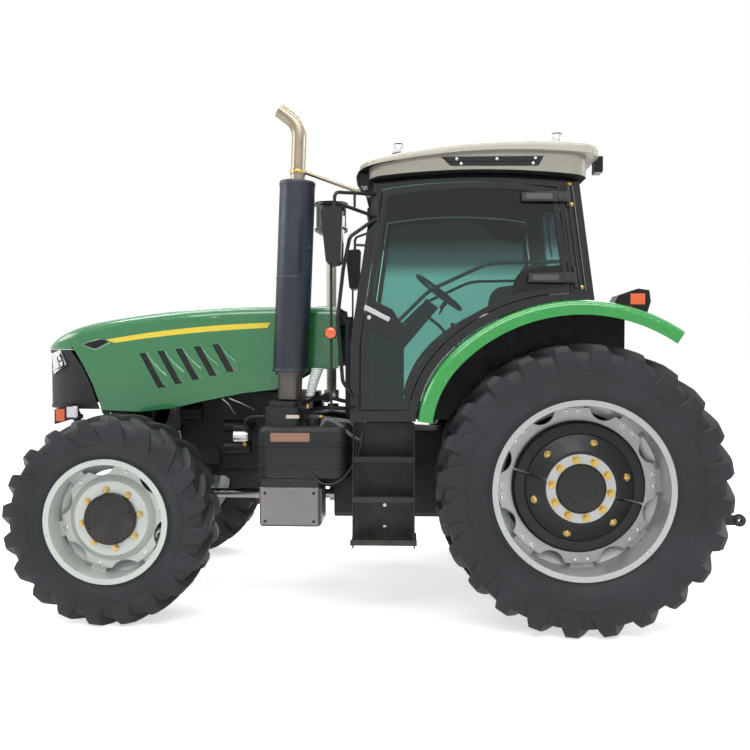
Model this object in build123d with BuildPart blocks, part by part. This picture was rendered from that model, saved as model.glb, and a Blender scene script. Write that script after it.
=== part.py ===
"""Four-wheel-drive farm tractor with a closed cab, an opening hood and a three-point linkage.

Lengths are millimetres, +X is forward, +Y is the driver's left and +Z is up.
Stations along the tractor (the first coordinate) are measured forward from the rear axle while the
pieces are made. save() then moves every piece so that the origin lies on the ground under the middle
of the tractor. Left-hand pieces are modelled and their right-hand twins are mirrored from them.
"""

import os
from math import asin, atan2, cos, degrees, hypot, radians, sin, sqrt, tan

from build123d import *

os.makedirs("parts", exist_ok=True)

# ---------------------------------------------------------------- driving dimensions
wheelbase = 2885.0
nose_reach = 3620.0  # nose of the hood, ahead of the rear axle
link_reach = 1220.0  # eyes of the lower links, behind the rear axle
origin_station = (nose_reach - link_reach) / 2
pin_gap = 1.0  # radial clearance of the hinge pins and stub shafts
joint_gap = 6.0  # clearance between pieces that move past each other
seat_gap = 0.5  # clearance between pieces that rest on or fit into each other

# Rear wheels. "half" values are measured from the wheel's mid plane, and so are offsets, outboard.
rear_track_half = 935.0
rear_tyre_radius = 868.0  # to the corners of the lugs
rear_tyre_half = 233.0
rear_lug_height = 38.0
rear_lug_width = 58.0
rear_lug_pairs = 24
rear_flange_radius = 538.0
rear_rim_half = 198.0
rear_lobe_radius = 480.0
rear_lobe_offset = -24.0
rear_lobes = 8
rear_lobe_phase = 4.0  # direction of one lobe, seen from outside
rear_scallop = (515.0, 90.0)  # centre distance and radius of the cut between two lobes
rear_ring_radius = 207.0
rear_ring_offset = 88.0
rear_dish_radius = 300.0
rear_hub_radius = 149.0
rear_hub_proud = 16.0  # face of the hub, outboard of the disc's ring
rear_bolt_circle = 176.0
rear_bolts = 10
rear_bolt_phase = 28.0

# Front wheels
front_track_half = 875.0
front_tyre_radius = 645.0
front_tyre_half = 184.0
front_lug_height = 33.0
front_lug_width = 50.0
front_lug_pairs = 20
front_flange_radius = 386.0
front_rim_half = 165.0
front_lobe_radius = 322.0
front_lobe_offset = 10.0
front_lobes = 6
front_lobe_phase = 13.0
front_scallop = (385.0, 110.0)
front_ring_radius = 232.0
front_ring_offset = 44.0
front_dish_radius = 272.0
front_hub_radius = 160.0
front_hub_proud = 44.0
front_bolt_circle = 184.0
front_bolts = 8
front_bolt_phase = 9.0

disc_thick = 12.0
rim_thick = 9.0
bead_depth = 26.0  # rim flange above its bead seat
well_depth = 55.0
nut_radius = 17.0
nut_height = 16.0
lug_root = 130.0  # depth that a lug reaches into the carcass
lug_draft = 14.0
bead_clear = 13.0  # tyre's bead, inboard of the rim's flange
stub_radius = 50.0  # stub shaft of each hub, held in the axle or knuckle
stub_length = 60.0
weight_gap = 16.0  # gap between the two halves of a rear wheel's weights
weight_tilt = 15.0
weight_radius = 402.0

# Front axle and steering
kingpin_half = 665.0
kingpin_radius = 22.0
knuckle_boss_radius = 60.0
knuckle_boss_half = 95.0
knuckle_inset = 85.0  # knuckle's outer face, inboard of the wheel's mid plane
beam_radius = 72.0
trunnion_radius = 65.0
axle_housing_radius = 150.0
axle_housing_half = 150.0
steering_arm = 175.0
steering_rod_radius = 18.0
steering_eye_radius = 32.0
cylinder_radius = 36.0
carrier_radius = 112.0
ear_thick = 30.0

# Frame, engine and drive line
engine_half = 255.0
engine_to_axle = 245.0  # engine's front face, behind the front axle
sump_z = 720.0
block_z = 860.0
head_z = 1400.0
cover_z = 1640.0
manifold_z = 1425.0
flywheel_front = 1800.0
gearbox_front = 1760.0
gearbox_half = 235.0
gearbox_bottom_z = 520.0
gearbox_top_z = 1150.0
drop_box_front = 1550.0
support_overhang = 515.0  # front end of the front support, ahead of the front axle
support_bottom_z = 870.0
support_top_z = 1060.0
support_rail = 40.0
rear_housing_front = 349.0
rear_housing_back = -380.0
rear_housing_bottom_z = 560.0
rear_housing_top_z = 1080.0
trumpet_radius = 130.0
trumpet_end = 790.0
pto_radius = 17.5
pto_z = 700.0
shaft_radius = 34.0

# Cab
cab_tilt = 4.0  # degrees the cab's sides lean in towards the roof
floor_z = 1300.0
floor_thick = 55.0
cab_half = 800.0  # outer half width at the floor
tub_half = 612.0  # half width of the floor between the fenders
frame_depth = 60.0  # thickness of the side frame
post_width = 60.0
post_front = 1399.0
post_bend_z = 1740.0
header_front = 1250.0
header_z = 2775.0
header_rise = 45.0  # arch of the top rail at mid length
rear_post_bottom = (-140.0, 2000.0)
rear_post_top = -45.0
rear_post_width = 140.0
rail_height = 48.0
sill_height = 12.0
door_ring = 36.0
door_thick = 30.0
glass_thick = 8.0
glass_inset = 10.0
arch_rail = 54.0  # band of cab frame between fender and door
beam_size = 55.0
roof_half = 810.0
roof_corner = 130.0

# Fender arch: two arcs tangent at 45 degrees, seen from the side
arch_centre = (12.0, 911.0)
arch_radius = 1082.0
arch_tail_angle = 124.0
arch_nose_radius = 694.0
arch_nose_angle = 7.0
fender_inner = 625.0
fender_outer = 1085.0
fender_thick = 8.0
fender_lip = 88.0
fender_round = 40.0
arch_seat = 6.0  # cab frame above the fender skin

# Hood
hood_rear = 1500.0
hood_half_rear = 455.0
hood_half_mid = 441.0
hood_half_front = 392.0
hood_thick = 8.0
hood_top_z = 1992.0
hood_nose_z = 1732.0
hood_shoulder = 70.0
hood_bottom_z = 1200.0
hood_hinge = (1512.0, 1930.0)
hood_hinge_y = 320.0
hinge_pin = 10.0
vent_count = 5

# Exhaust
muffler_station = 1800.0
muffler_y = 620.0
muffler_radius = 114.0
muffler_bottom_z = 1553.0
muffler_top_z = 2785.0
muffler_lean = 2.3
pipe_radius = 47.0
pipe_wall = 4.0
outlet_z = 3150.0

# Tanks, battery box and steps
tank_front, tank_rear = 1985.0, 1405.0
tank_inner, tank_outer = 440.0, 850.0
tank_bottom_z, tank_top_z = 890.0, 1215.0
step_front = 1375.0
step_rear = 990.0
step_plate = 8.0
step_depth = 200.0
step_top_z = 1235.0

# Linkage behind
lower_pin = (-330.0, 560.0)
lower_link_y = 330.0
lower_eye = (-1180.0, 560.0)
lower_eye_y = 430.0
link_pin = 14.0
eye_bore = 14.3
rock_shaft = (-150.0, 1158.0)
rock_shaft_radius = 45.0
lift_arm_length = 480.0
lift_arm_y = 330.0
lift_rod_pin = 12.0
top_pin = (-420.0, 990.0)
top_link_length = 600.0
top_link_angle = 135.0  # stowed direction, degrees from +X in the side view
top_eye_bore = 12.8
drawbar_z = 425.0
drawbar_end = -960.0
drawbar_bore = 15.5

# Places that follow from the dimensions above
axle_z = front_tyre_radius
engine_front = wheelbase - engine_to_axle
support_front = wheelbase + support_overhang
support_rear = engine_front - 290
knuckle_face = front_track_half - knuckle_inset
lift_arm_tip = (rock_shaft[0] - lift_arm_length, rock_shaft[1])
lift_hole = (lower_pin[0] - lift_arm_length, lower_pin[1])


def save(piece, name):
    """Label a finished piece, move it into the tractor's frame and write its STEP file."""
    moved = [Location((-origin_station, 0, 0)) * solid for solid in piece.solids()]
    shape = moved[0] if len(moved) == 1 else Compound(children=moved)
    shape.label = name
    export_step(shape, f"parts/{name}.step")


def mirrored(piece):
    """The right-hand twin of a left-hand piece."""
    return mirror(piece, about=Plane.XZ)


def side_plane(y):
    """Upright plane seen from the left: local x is +X, local y is +Z and extrusions go to -Y."""
    return Plane(origin=(0, y, 0), x_dir=(1, 0, 0), z_dir=(0, -1, 0))


def block(x0, x1, y0, y1, z0, z1, mode=Mode.ADD):
    """Box between two corners."""
    with Locations(((x0 + x1) / 2, (y0 + y1) / 2, (z0 + z1) / 2)):
        Box(abs(x1 - x0), abs(y1 - y0), abs(z1 - z0), mode=mode)


def rounded_block(x0, x1, y0, y1, z0, z1, radius):
    """Box between two corners with its upright edges rounded."""
    with BuildSketch(Plane.XY.offset(z0)) as base:
        with Locations(((x0 + x1) / 2, (y0 + y1) / 2)):
            RectangleRounded(x1 - x0, y1 - y0, radius)
    extrude(base.sketch, amount=z1 - z0)


def rod(start, end, radius, mode=Mode.ADD):
    """Round bar between two points."""
    axis = Vector(*end) - Vector(*start)
    with BuildSketch(Plane(origin=start, z_dir=axis.normalized())) as section:
        Circle(radius)
    extrude(section.sketch, amount=axis.length, mode=mode)


def bent_rod(points, radius, bend, mode=Mode.ADD):
    """Round bar bent along a polyline with equal bend radii."""
    with BuildLine() as run:
        FilletPolyline(*points, radius=bend)
    path = run.line
    with BuildSketch(Plane(origin=path @ 0, z_dir=path % 0)) as section:
        Circle(radius)
    sweep(section.sketch, path=path, mode=mode)


# ---------------------------------------------------------------- tyres
def spoke_plane(angle):
    """Plane through the wheel's axis: local x is outboard and local y is the spoke's direction."""
    turn = radians(angle)
    return Plane(origin=(0, 0, 0), x_dir=(0, 1, 0), z_dir=(cos(turn), 0, -sin(turn)))


def tyre(radius, half, flange, rim_half, lug_height, lug_width, lug_pairs):
    """Tyre about the Y axis: a carcass of flat bands, one sector to each pair of lugs, lugs fused on.

    The lugs are slanting bars. Their inner ends lead, and the two rows are half a pitch apart.
    """
    bead = (flange - bead_depth + seat_gap) / cos(radians(180 / lug_pairs))
    seat = rim_half - rim_thick - bead_clear
    tread = radius - lug_height
    tread_half = 0.93 * half
    bulge = bead + 0.44 * (radius - bead)
    sector = 360 / lug_pairs
    pitch = 2 * radius * sin(radians(sector / 2))
    outline = (
        (-seat, bead), (-half, bulge), (-tread_half, tread),
        (tread_half, tread), (half, bulge), (seat, bead),
    )
    with BuildPart() as band:
        for angle in (-sector / 2, sector / 2):
            with BuildSketch(spoke_plane(angle)):
                Polygon(*outline, align=None)
        loft(ruled=True)
    inner_y, outer_y, lead = -0.04 * half, tread_half - 4, (pitch - lug_width) / 2 - 5
    reach = sqrt(radius**2 - (lead + lug_width / 2) ** 2)  # keeps the lug's corners at the radius
    with BuildPart() as lug:
        for drop, grow in ((0, 0), (lug_height + lug_root, lug_draft)):
            wide = lug_width / 2 + grow
            with BuildSketch(Plane.XY.offset(reach - drop)):
                Polygon(
                    (lead - wide, inner_y - grow / 2), (lead + wide, inner_y - grow / 2),
                    (wide - lead, outer_y + grow / 2), (-wide - lead, outer_y + grow / 2),
                    align=None,
                )
        loft(ruled=True)
    with BuildPart() as ring:
        add([band.part.rotate(Axis.Y, sector * turn) for turn in range(lug_pairs)])
        add([lug.part.rotate(Axis.Y, sector * turn) for turn in range(lug_pairs)])
        other_row = mirrored(lug.part)
        add([other_row.rotate(Axis.Y, sector * (turn + 0.5)) for turn in range(lug_pairs)])
    return ring.part


# ---------------------------------------------------------------- rims, hubs and weights
wheel_face = Plane(origin=(0, 0, 0), x_dir=(-1, 0, 0), z_dir=(0, 1, 0))
half_section = Plane(origin=(0, 0, 0), x_dir=(0, 1, 0), z_dir=(1, 0, 0))


def rim(flange, half, lobe_radius, lobe_offset, lobes, lobe_phase, scallop, dish_radius,
        ring_radius, ring_offset, hub_radius, bolt_circle, bolts, bolt_phase):
    """Rim about the Y axis with its lobed disc, dished out to the hub and bolted to brackets."""
    bead = flange - bead_depth
    well = bead - well_depth
    well_end = -0.36 * half
    t = rim_thick
    with BuildPart() as wheel:
        with BuildSketch(half_section):
            Polygon(
                (-half, flange), (t - half, flange), (t - half, bead), (-half + 38, bead),
                (-half + 58, well), (well_end, well), (well_end + 26, bead), (half - t, bead),
                (half - t, flange), (half, flange), (half, bead - t), (well_end + 30, bead - t),
                (well_end + 4, well - t), (-half + 53, well - t), (-half + 33, bead - t),
                (-half, bead - t), align=None,
            )
        revolve(axis=Axis.Y)
        with BuildSketch(wheel_face.offset(lobe_offset)):
            Circle(lobe_radius)
            with PolarLocations(scallop[0], lobes, start_angle=lobe_phase + 180 / lobes):
                Circle(scallop[1], mode=Mode.SUBTRACT)
            Circle(dish_radius - 2, mode=Mode.SUBTRACT)
        extrude(amount=disc_thick)
        with BuildSketch(half_section):
            Polygon(
                (lobe_offset, dish_radius), (ring_offset, ring_radius),
                (ring_offset, hub_radius + pin_gap), (ring_offset + disc_thick, hub_radius + pin_gap),
                (ring_offset + disc_thick, ring_radius), (lobe_offset + disc_thick, dish_radius),
                align=None,
            )
        revolve(axis=Axis.Y)
        with BuildSketch(wheel_face.offset(lobe_offset - disc_thick)):
            with PolarLocations((lobe_radius + bead) / 2 - 20, lobes, start_angle=lobe_phase):
                Rectangle(bead - lobe_radius + 30, 0.3 * lobe_radius)
        extrude(amount=disc_thick)
        with BuildSketch(wheel_face.offset(ring_offset)):
            with PolarLocations(bolt_circle, bolts, start_angle=bolt_phase):
                RegularPolygon(nut_radius, 6)
        extrude(amount=disc_thick + nut_height)
    return wheel.part


def hub(ring_offset, radius, inner_offset, proud):
    """Drive hub about the Y axis: the drum that fills the disc's bore, and its stub shaft."""
    face = ring_offset + disc_thick + proud
    with BuildPart() as drum:
        with BuildSketch(half_section):
            Polygon(
                (inner_offset + joint_gap, 0), (inner_offset + joint_gap, radius - 35),
                (ring_offset - 45, radius - 35), (ring_offset - 20, radius), (face - 12, radius),
                (face, radius - 14), (face, radius - 60), (face - 5, radius - 66), (face - 5, 0),
                align=None,
            )
        revolve(axis=Axis.Y)
        with BuildSketch(wheel_face.offset(inner_offset - stub_length)):
            Circle(stub_radius)
        extrude(amount=stub_length + joint_gap)
    return drum.part


def weight_halves():
    """The two half-round ballast castings bolted over a rear wheel's disc, about the Y axis."""
    seat = rear_lobe_offset + disc_thick + seat_gap
    ring = rear_ring_offset + disc_thick + seat_gap
    inner = rear_ring_radius + 6
    with BuildPart() as halves:
        with BuildSketch(half_section):
            Polygon(
                (ring - 6, inner), (seat, rear_dish_radius + 1), (seat, weight_radius),
                (seat + 34, weight_radius), (seat + 52, weight_radius - 16), (seat + 58, 330),
                (seat + 68, 322), (ring + 4, inner + 12), (ring + 4, inner), align=None,
            )
        revolve(axis=Axis.Y)
        with BuildSketch(wheel_face):
            with Locations(Rotation(0, 0, -weight_tilt)):
                Rectangle(2.2 * weight_radius, weight_gap)
        extrude(amount=2 * ring, both=True, mode=Mode.SUBTRACT)
    return halves.part


wheel_table = (  # name, station, track half, axle height, left-hand piece about the Y axis
    ("tyre_rear", 0, rear_track_half, rear_tyre_radius, tyre(
        rear_tyre_radius, rear_tyre_half, rear_flange_radius, rear_rim_half, rear_lug_height,
        rear_lug_width, rear_lug_pairs)),
    ("rim_rear", 0, rear_track_half, rear_tyre_radius, rim(
        rear_flange_radius, rear_rim_half, rear_lobe_radius, rear_lobe_offset, rear_lobes,
        rear_lobe_phase, rear_scallop, rear_dish_radius, rear_ring_radius, rear_ring_offset,
        rear_hub_radius, rear_bolt_circle, rear_bolts, rear_bolt_phase)),
    ("hub_rear", 0, rear_track_half, rear_tyre_radius, hub(
        rear_ring_offset, rear_hub_radius, trumpet_end - rear_track_half, rear_hub_proud)),
    ("weights_rear", 0, rear_track_half, rear_tyre_radius, weight_halves()),
    ("tyre_front", wheelbase, front_track_half, front_tyre_radius, tyre(
        front_tyre_radius, front_tyre_half, front_flange_radius, front_rim_half, front_lug_height,
        front_lug_width, front_lug_pairs)),
    ("rim_front", wheelbase, front_track_half, front_tyre_radius, rim(
        front_flange_radius, front_rim_half, front_lobe_radius, front_lobe_offset, front_lobes,
        front_lobe_phase, front_scallop, front_dish_radius, front_ring_radius, front_ring_offset,
        front_hub_radius, front_bolt_circle, front_bolts, front_bolt_phase)),
    ("hub_front", wheelbase, front_track_half, front_tyre_radius, hub(
        front_ring_offset, front_hub_radius, knuckle_face - front_track_half, front_hub_proud)),
)
for name, station, track_half, height, centred in wheel_table:
    left_piece = Location((station, track_half, height)) * centred
    save(left_piece, f"{name}_left")
    save(mirrored(left_piece), f"{name}_right")

# ---------------------------------------------------------------- front axle and steering
ear_low = knuckle_boss_half + joint_gap
carrier_inner = kingpin_half + knuckle_boss_radius + 12
rod_half = 20.0
rod_z = axle_z - ear_low - ear_thick - rod_half - joint_gap
rod_station = wheelbase - steering_arm

with BuildPart() as front_axle:
    with BuildSketch(side_plane(kingpin_half)):
        with Locations((wheelbase, axle_z)):
            Circle(beam_radius)
    extrude(amount=2 * kingpin_half)
    with BuildSketch(Plane.YZ.offset(wheelbase - axle_housing_half)):
        with Locations((0, axle_z)):
            Circle(axle_housing_radius)
    extrude(amount=2 * axle_housing_half)
    chamfer(front_axle.edges().filter_by(GeomType.CIRCLE).filter_by(
        lambda e: e.radius == axle_housing_radius), 35)
    rod((wheelbase - axle_housing_half - 70, 0, axle_z), (wheelbase + axle_housing_half + 70, 0, axle_z),
        trunnion_radius)
    for side in (1, -1):
        with Locations((wheelbase, side * kingpin_half, axle_z)):
            Cylinder(knuckle_boss_radius, 2 * knuckle_boss_half)
        for up in (1, -1):
            pocket = (wheelbase, side * kingpin_half, axle_z + up * (knuckle_boss_half - 20))
            with Locations(pocket):
                Cylinder(kingpin_radius + pin_gap, 50, mode=Mode.SUBTRACT)
        block(rod_station, wheelbase, side * 120, side * 150, rod_z - 30, axle_z)
    with BuildSketch(side_plane(190)):
        with Locations((rod_station, rod_z)):
            Circle(cylinder_radius)
    extrude(amount=380)
    with BuildSketch(side_plane(200)):
        with Locations((rod_station, rod_z)):
            Circle(steering_rod_radius + pin_gap)
    extrude(amount=400, mode=Mode.SUBTRACT)
save(front_axle.part, "front_axle")

with BuildPart() as knuckle:
    with BuildSketch(side_plane(knuckle_face)):
        with Locations((wheelbase, axle_z)):
            Circle(carrier_radius)
    extrude(amount=knuckle_face - carrier_inner)
    for up in (1, -1):
        inner_z = axle_z + up * ear_low
        outer_z = inner_z + up * ear_thick
        with BuildSketch(Plane.XY.offset(min(inner_z, outer_z))):
            with Locations((wheelbase, kingpin_half)):
                Circle(50)
            with Locations((wheelbase, (kingpin_half + knuckle_face) / 2)):
                Rectangle(100, knuckle_face - kingpin_half)
        extrude(amount=ear_thick)
        block(wheelbase - 50, wheelbase + 50, carrier_inner, knuckle_face, axle_z, inner_z)
        rod((wheelbase, kingpin_half, inner_z + up * 5),
            (wheelbase, kingpin_half, axle_z + up * (knuckle_boss_half - 40)), kingpin_radius)
    with BuildSketch(Plane.XY.offset(axle_z - ear_low - ear_thick)):
        with Locations((rod_station, kingpin_half)):
            Circle(30)
        with Locations((wheelbase - steering_arm / 2, kingpin_half)):
            Rectangle(steering_arm, 50)
    extrude(amount=ear_thick)
    with BuildSketch(side_plane(knuckle_face)):
        with Locations((wheelbase, axle_z)):
            Circle(stub_radius + pin_gap)
    extrude(amount=stub_length, mode=Mode.SUBTRACT)
save(knuckle.part, "knuckle_left")
save(mirrored(knuckle.part), "knuckle_right")

with BuildPart() as steering_rod:
    rod((rod_station, -kingpin_half, rod_z), (rod_station, kingpin_half, rod_z), steering_rod_radius)
    for side in (1, -1):
        with Locations((rod_station, side * kingpin_half, rod_z)):
            Cylinder(steering_eye_radius, 2 * rod_half)
save(steering_rod.part, "steering_rod")

# ---------------------------------------------------------------- frame, engine and drive line
clevis_x = support_front + 90
with BuildPart() as front_support:
    with BuildSketch(side_plane(engine_half + support_rail)):
        Polygon(
            (support_rear, support_bottom_z + 30), (support_front - 60, support_bottom_z),
            (support_front, support_bottom_z + 40), (support_front, support_top_z),
            (support_rear, support_top_z - 60), align=None,
        )
    extrude(amount=2 * (engine_half + support_rail))
    block(support_rear - 1, engine_front + 1, -engine_half - 1, engine_half + 1, 700, 1200,
          mode=Mode.SUBTRACT)
    block(engine_front + 240, support_front - 60, 30 - engine_half, engine_half - 30,
          support_bottom_z + 90, 1200, mode=Mode.SUBTRACT)
    for along in (-1, 1):
        block(wheelbase + along * (axle_housing_half + 10), wheelbase + along * (axle_housing_half + 70),
              -115, 115, axle_z - 100, support_bottom_z + 60)
    rod((wheelbase - axle_housing_half - 150, 0, axle_z), (wheelbase + axle_housing_half + 150, 0, axle_z),
        trunnion_radius + pin_gap, Mode.SUBTRACT)
    block(support_front, clevis_x + 40, -90, 90, 905, 1030)
    block(support_front + 40, clevis_x + 41, -91, 91, 950, 985, mode=Mode.SUBTRACT)
    with Locations((clevis_x, 0, 960)):
        Cylinder(16, 300, mode=Mode.SUBTRACT)
save(front_support.part, "front_support")

block_front = engine_front - 30
cylinders = 6
with BuildPart() as engine:
    block(flywheel_front, block_front, -engine_half + 35, engine_half - 35, block_z, head_z)
    block(flywheel_front, flywheel_front + 60, -engine_half, engine_half, block_z, head_z - 60)
    block(block_front - 10, engine_front, -200, 200, block_z, head_z - 40)
    rounded_block(flywheel_front + 40, block_front - 20, -150, 150, head_z, cover_z, 50)
    with BuildSketch(side_plane(190)):
        Polygon(
            (flywheel_front + 40, block_z), (flywheel_front + 40, sump_z + 30),
            (flywheel_front + 70, sump_z), (flywheel_front + 440, sump_z),
            (flywheel_front + 530, block_z - 60), (block_front - 40, block_z - 50),
            (block_front - 40, block_z), align=None,
        )
    extrude(amount=380)
    for z, radius in ((1120, 95), (1330, 80)):
        rod((engine_front - 5, 0, z), (engine_front + 40, 0, z), radius)
    rod((engine_front + 35, 0, 1330), (engine_front + 60, 0, 1330), 40)
    rod((muffler_station + 70, 120, manifold_z), (muffler_station + 70, 284, manifold_z), 46)
    bore_pitch = (block_front - flywheel_front - 120) / cylinders
    for side, reach in ((1, 205), (-1, 205)):
        for number in range(cylinders):
            x = flywheel_front + 60 + (number + 0.5) * bore_pitch
            block(x - 28, x + 28, side * 120, side * reach, head_z - 1, head_z + 70)
        rod((flywheel_front + 90, side * reach, head_z + 40),
            (block_front - 60, side * reach, head_z + 40), 38)
    for x, z, radius, length in (
        (block_front - 130, 1260, 62, 150), (flywheel_front + 340, 1010, 48, 190),
        (flywheel_front + 380, 1160, 40, 150), (flywheel_front + 120, 930, 55, 160),
    ):
        rod((x, engine_half - 36, z), (x + length, engine_half - 36, z), radius)
        rod((x, 36 - engine_half, z), (x + length, 36 - engine_half, z), radius)
save(engine.part, "engine")

radiator_front = support_front - 340
radiator_rear = support_front - 480
radiator_half = 345.0
radiator_top_z = 1750.0
with BuildPart() as radiator:
    block(radiator_rear, radiator_front, -radiator_half, radiator_half, support_top_z + seat_gap,
          radiator_top_z)
    with BuildSketch(Plane.YZ.offset(radiator_rear - 75)):
        with Locations((0, 1390)):
            Circle(275)
            Circle(262, mode=Mode.SUBTRACT)
    extrude(amount=75)
    block(radiator_front, radiator_front + 25, -radiator_half + 30, radiator_half - 30,
          support_top_z + 60, radiator_top_z - 60)
    block(radiator_front + 25, radiator_front + 60, -radiator_half + 60, radiator_half - 60,
          support_top_z + 120, radiator_top_z - 120)
save(radiator.part, "radiator")

with BuildPart() as transmission:
    with BuildSketch(side_plane(gearbox_half)):
        Polygon(
            (gearbox_front, 760), (gearbox_front, 1210), (1350, gearbox_top_z),
            (rear_housing_front + 1, gearbox_top_z - 40), (rear_housing_front + 1, gearbox_bottom_z + 40),
            (rear_housing_front + 130, gearbox_bottom_z), (drop_box_front, gearbox_bottom_z),
            (drop_box_front, 730), align=None,
        )
    extrude(amount=2 * gearbox_half)
    chamfer(transmission.edges().filter_by(Axis.X), 35)
    for x, low in ((gearbox_front - 60, 800), (1130, 620), (700, 620)):
        block(x - 15, x + 15, -gearbox_half - 22, gearbox_half + 22, low, gearbox_top_z - 20)
    block(gearbox_front, flywheel_front - 1, -engine_half - 30, engine_half + 30, 800, 1330)
    fillet(transmission.faces().sort_by(Axis.X)[-1].edges().filter_by(Axis.Z), 8)
save(transmission.part, "transmission")

rock_boss = 74.0
with BuildPart() as rear_axle:
    block(rear_housing_back, rear_housing_front, -gearbox_half, gearbox_half, rear_housing_bottom_z,
          rear_housing_top_z)
    chamfer(rear_axle.edges().filter_by(Axis.Y), 50)
    with BuildSketch(side_plane(gearbox_half - 20)):
        Polygon(
            (-340, rear_housing_top_z - 60), (320, rear_housing_top_z - 60),
            (300, floor_z - floor_thick - 4), (-190, floor_z - floor_thick - 4), (-300, 1170),
            align=None,
        )
    extrude(amount=2 * gearbox_half - 40)
    for side in (1, -1):
        inner = Plane(origin=(0, side * gearbox_half, rear_tyre_radius), z_dir=(0, side, 0))
        with BuildSketch(inner):
            Circle(trumpet_radius + 60)
        with BuildSketch(inner.offset(200)):
            Circle(trumpet_radius)
        loft()
        with BuildSketch(inner.offset(200)):
            Circle(trumpet_radius)
        extrude(amount=trumpet_end - gearbox_half - 200)
        with BuildSketch(inner.offset(trumpet_end - gearbox_half - 30)):
            Circle(trumpet_radius + 22)
        extrude(amount=30)
        with BuildSketch(inner.offset(trumpet_end - gearbox_half - stub_length - 4)):
            Circle(stub_radius + pin_gap)
        extrude(amount=stub_length + 10, mode=Mode.SUBTRACT)
        block(rear_housing_back - 90, rear_housing_back, side * 110, side * 100, 620, 780)
    with BuildSketch(side_plane(gearbox_half + 50)):
        with Locations(rock_shaft):
            Circle(rock_boss)
    extrude(amount=2 * gearbox_half + 100)
    with BuildSketch(side_plane(gearbox_half + 60)):
        with Locations(rock_shaft):
            Circle(rock_shaft_radius + pin_gap)
    extrude(amount=2 * gearbox_half + 120, mode=Mode.SUBTRACT)
    rod((rear_housing_back, 0, pto_z), (rear_housing_back - 30, 0, pto_z), 60)
    rod((rear_housing_back, 0, pto_z), (rear_housing_back - 110, 0, pto_z), pto_radius)
    block(rear_housing_back - 90, rear_housing_back, -110, 110, 770, 780)
save(rear_axle.part, "rear_axle")

with BuildPart() as drive_shaft:
    rod((drop_box_front + 1, 0, axle_z), (wheelbase - axle_housing_half - 71, 0, axle_z), shaft_radius)
    for x in (drop_box_front + 1, wheelbase - axle_housing_half - 121):
        rod((x, 0, axle_z), (x + 50, 0, axle_z), shaft_radius + 18)
save(drive_shaft.part, "drive_shaft")

# ---------------------------------------------------------------- tanks, battery box and steps
rib_proud = 6.0
with BuildPart() as fuel_tank:
    rounded_block(tank_rear, tank_front, tank_inner, tank_outer, tank_bottom_z, tank_top_z, 90)
    fillet(fuel_tank.edges().group_by(Axis.Z)[-1], 40)
    for z in (955, 1090):
        rounded_block(tank_rear - rib_proud, tank_front + rib_proud, tank_inner - rib_proud,
                      tank_outer + rib_proud, z, z + 14, 90 + rib_proud)
    rounded_block(1715, 1945, 560, 800, tank_top_z - 10, 1330, 60)
    rounded_block(1735, 1925, 580, 780, 1329, 1366, 50)
    rod((1640, 700, tank_top_z - 10), (1640, 700, tank_top_z + 45), 45)
save(fuel_tank.part + mirrored(fuel_tank.part), "fuel_tanks")

with BuildPart() as battery_box:
    rounded_block(1590, 1965, 500, 845, 585, tank_bottom_z - 40, 20)
    rounded_block(1584, 1971, 494, 851, tank_bottom_z - 60, tank_bottom_z - 2, 24)
save(battery_box.part, "battery_box")

step_table = (  # height, how far the tread reaches past the rails, forward and behind
    (500.0, 12.0), (760.0, 0.0), (1005.0, 0.0),
)
rail_lean = (970.0 - 890.0) / (step_top_z - 480.0)
with BuildPart() as steps:
    for x in (step_front, step_rear + step_plate):
        with BuildSketch(Plane.YZ.offset(x)):
            Polygon((790, step_top_z), (890, step_top_z), (970, 480), (870, 480), align=None)
        extrude(amount=-step_plate)
    for z, wider in step_table:
        out = 890 + rail_lean * (step_top_z - z)
        block(step_rear - wider, step_front + wider, out - step_depth, out + 10, z, z + 6)
        for y in (out + 4, out - step_depth):
            block(step_rear - wider, step_front + wider, y, y + 6, z, z + 34)
    for index, (low_z, high_z) in enumerate(((500, 760), (760, 1005), (1005, step_top_z))):
        y = 778 - 20 * index
        block(step_rear, step_front, y, y + 6, low_z, high_z)
save(steps.part + mirrored(steps.part), "steps")

# ---------------------------------------------------------------- exhaust and air intake
lean = tan(radians(muffler_lean))
muffler_axis = Vector(-sin(radians(muffler_lean)), 0, cos(radians(muffler_lean)))


def on_muffler(z):
    """Point on the leaning centre line of the exhaust at height z."""
    return (muffler_station - (z - muffler_bottom_z) * lean, muffler_y, z)


clamp_z = 2850.0  # band of the stay that ties the pipe to the cab's front post
stay_foot = (1271.0, 672.0, 2684.0)
outlet_low = on_muffler(outlet_z)
outlet_tip = (outlet_low[0] + 130, muffler_y, outlet_z + 100)
with BuildPart() as exhaust:
    rod(on_muffler(muffler_bottom_z), on_muffler(muffler_top_z), muffler_radius)
    rod(on_muffler(muffler_top_z - 14), on_muffler(muffler_top_z + 1), muffler_radius - 12,
        Mode.SUBTRACT)
    bent_rod([on_muffler(muffler_top_z - 20), outlet_low, outlet_tip], pipe_radius, 150)
    bent_rod([on_muffler(outlet_z - 150), outlet_low, outlet_tip], pipe_radius - pipe_wall, 150,
             Mode.SUBTRACT)
    rod(on_muffler(clamp_z - 15), on_muffler(clamp_z + 15), pipe_radius + 5)
    rod((on_muffler(clamp_z)[0] - pipe_radius, muffler_y, clamp_z), stay_foot, 13)
    rod(on_muffler(muffler_bottom_z - 175), on_muffler(muffler_bottom_z), 78)
    rod(on_muffler(muffler_bottom_z - 20), on_muffler(muffler_bottom_z), 96)
    rod(on_muffler(manifold_z), (muffler_station + 70, 300, manifold_z), 40)
save(exhaust.part, "exhaust")

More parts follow.
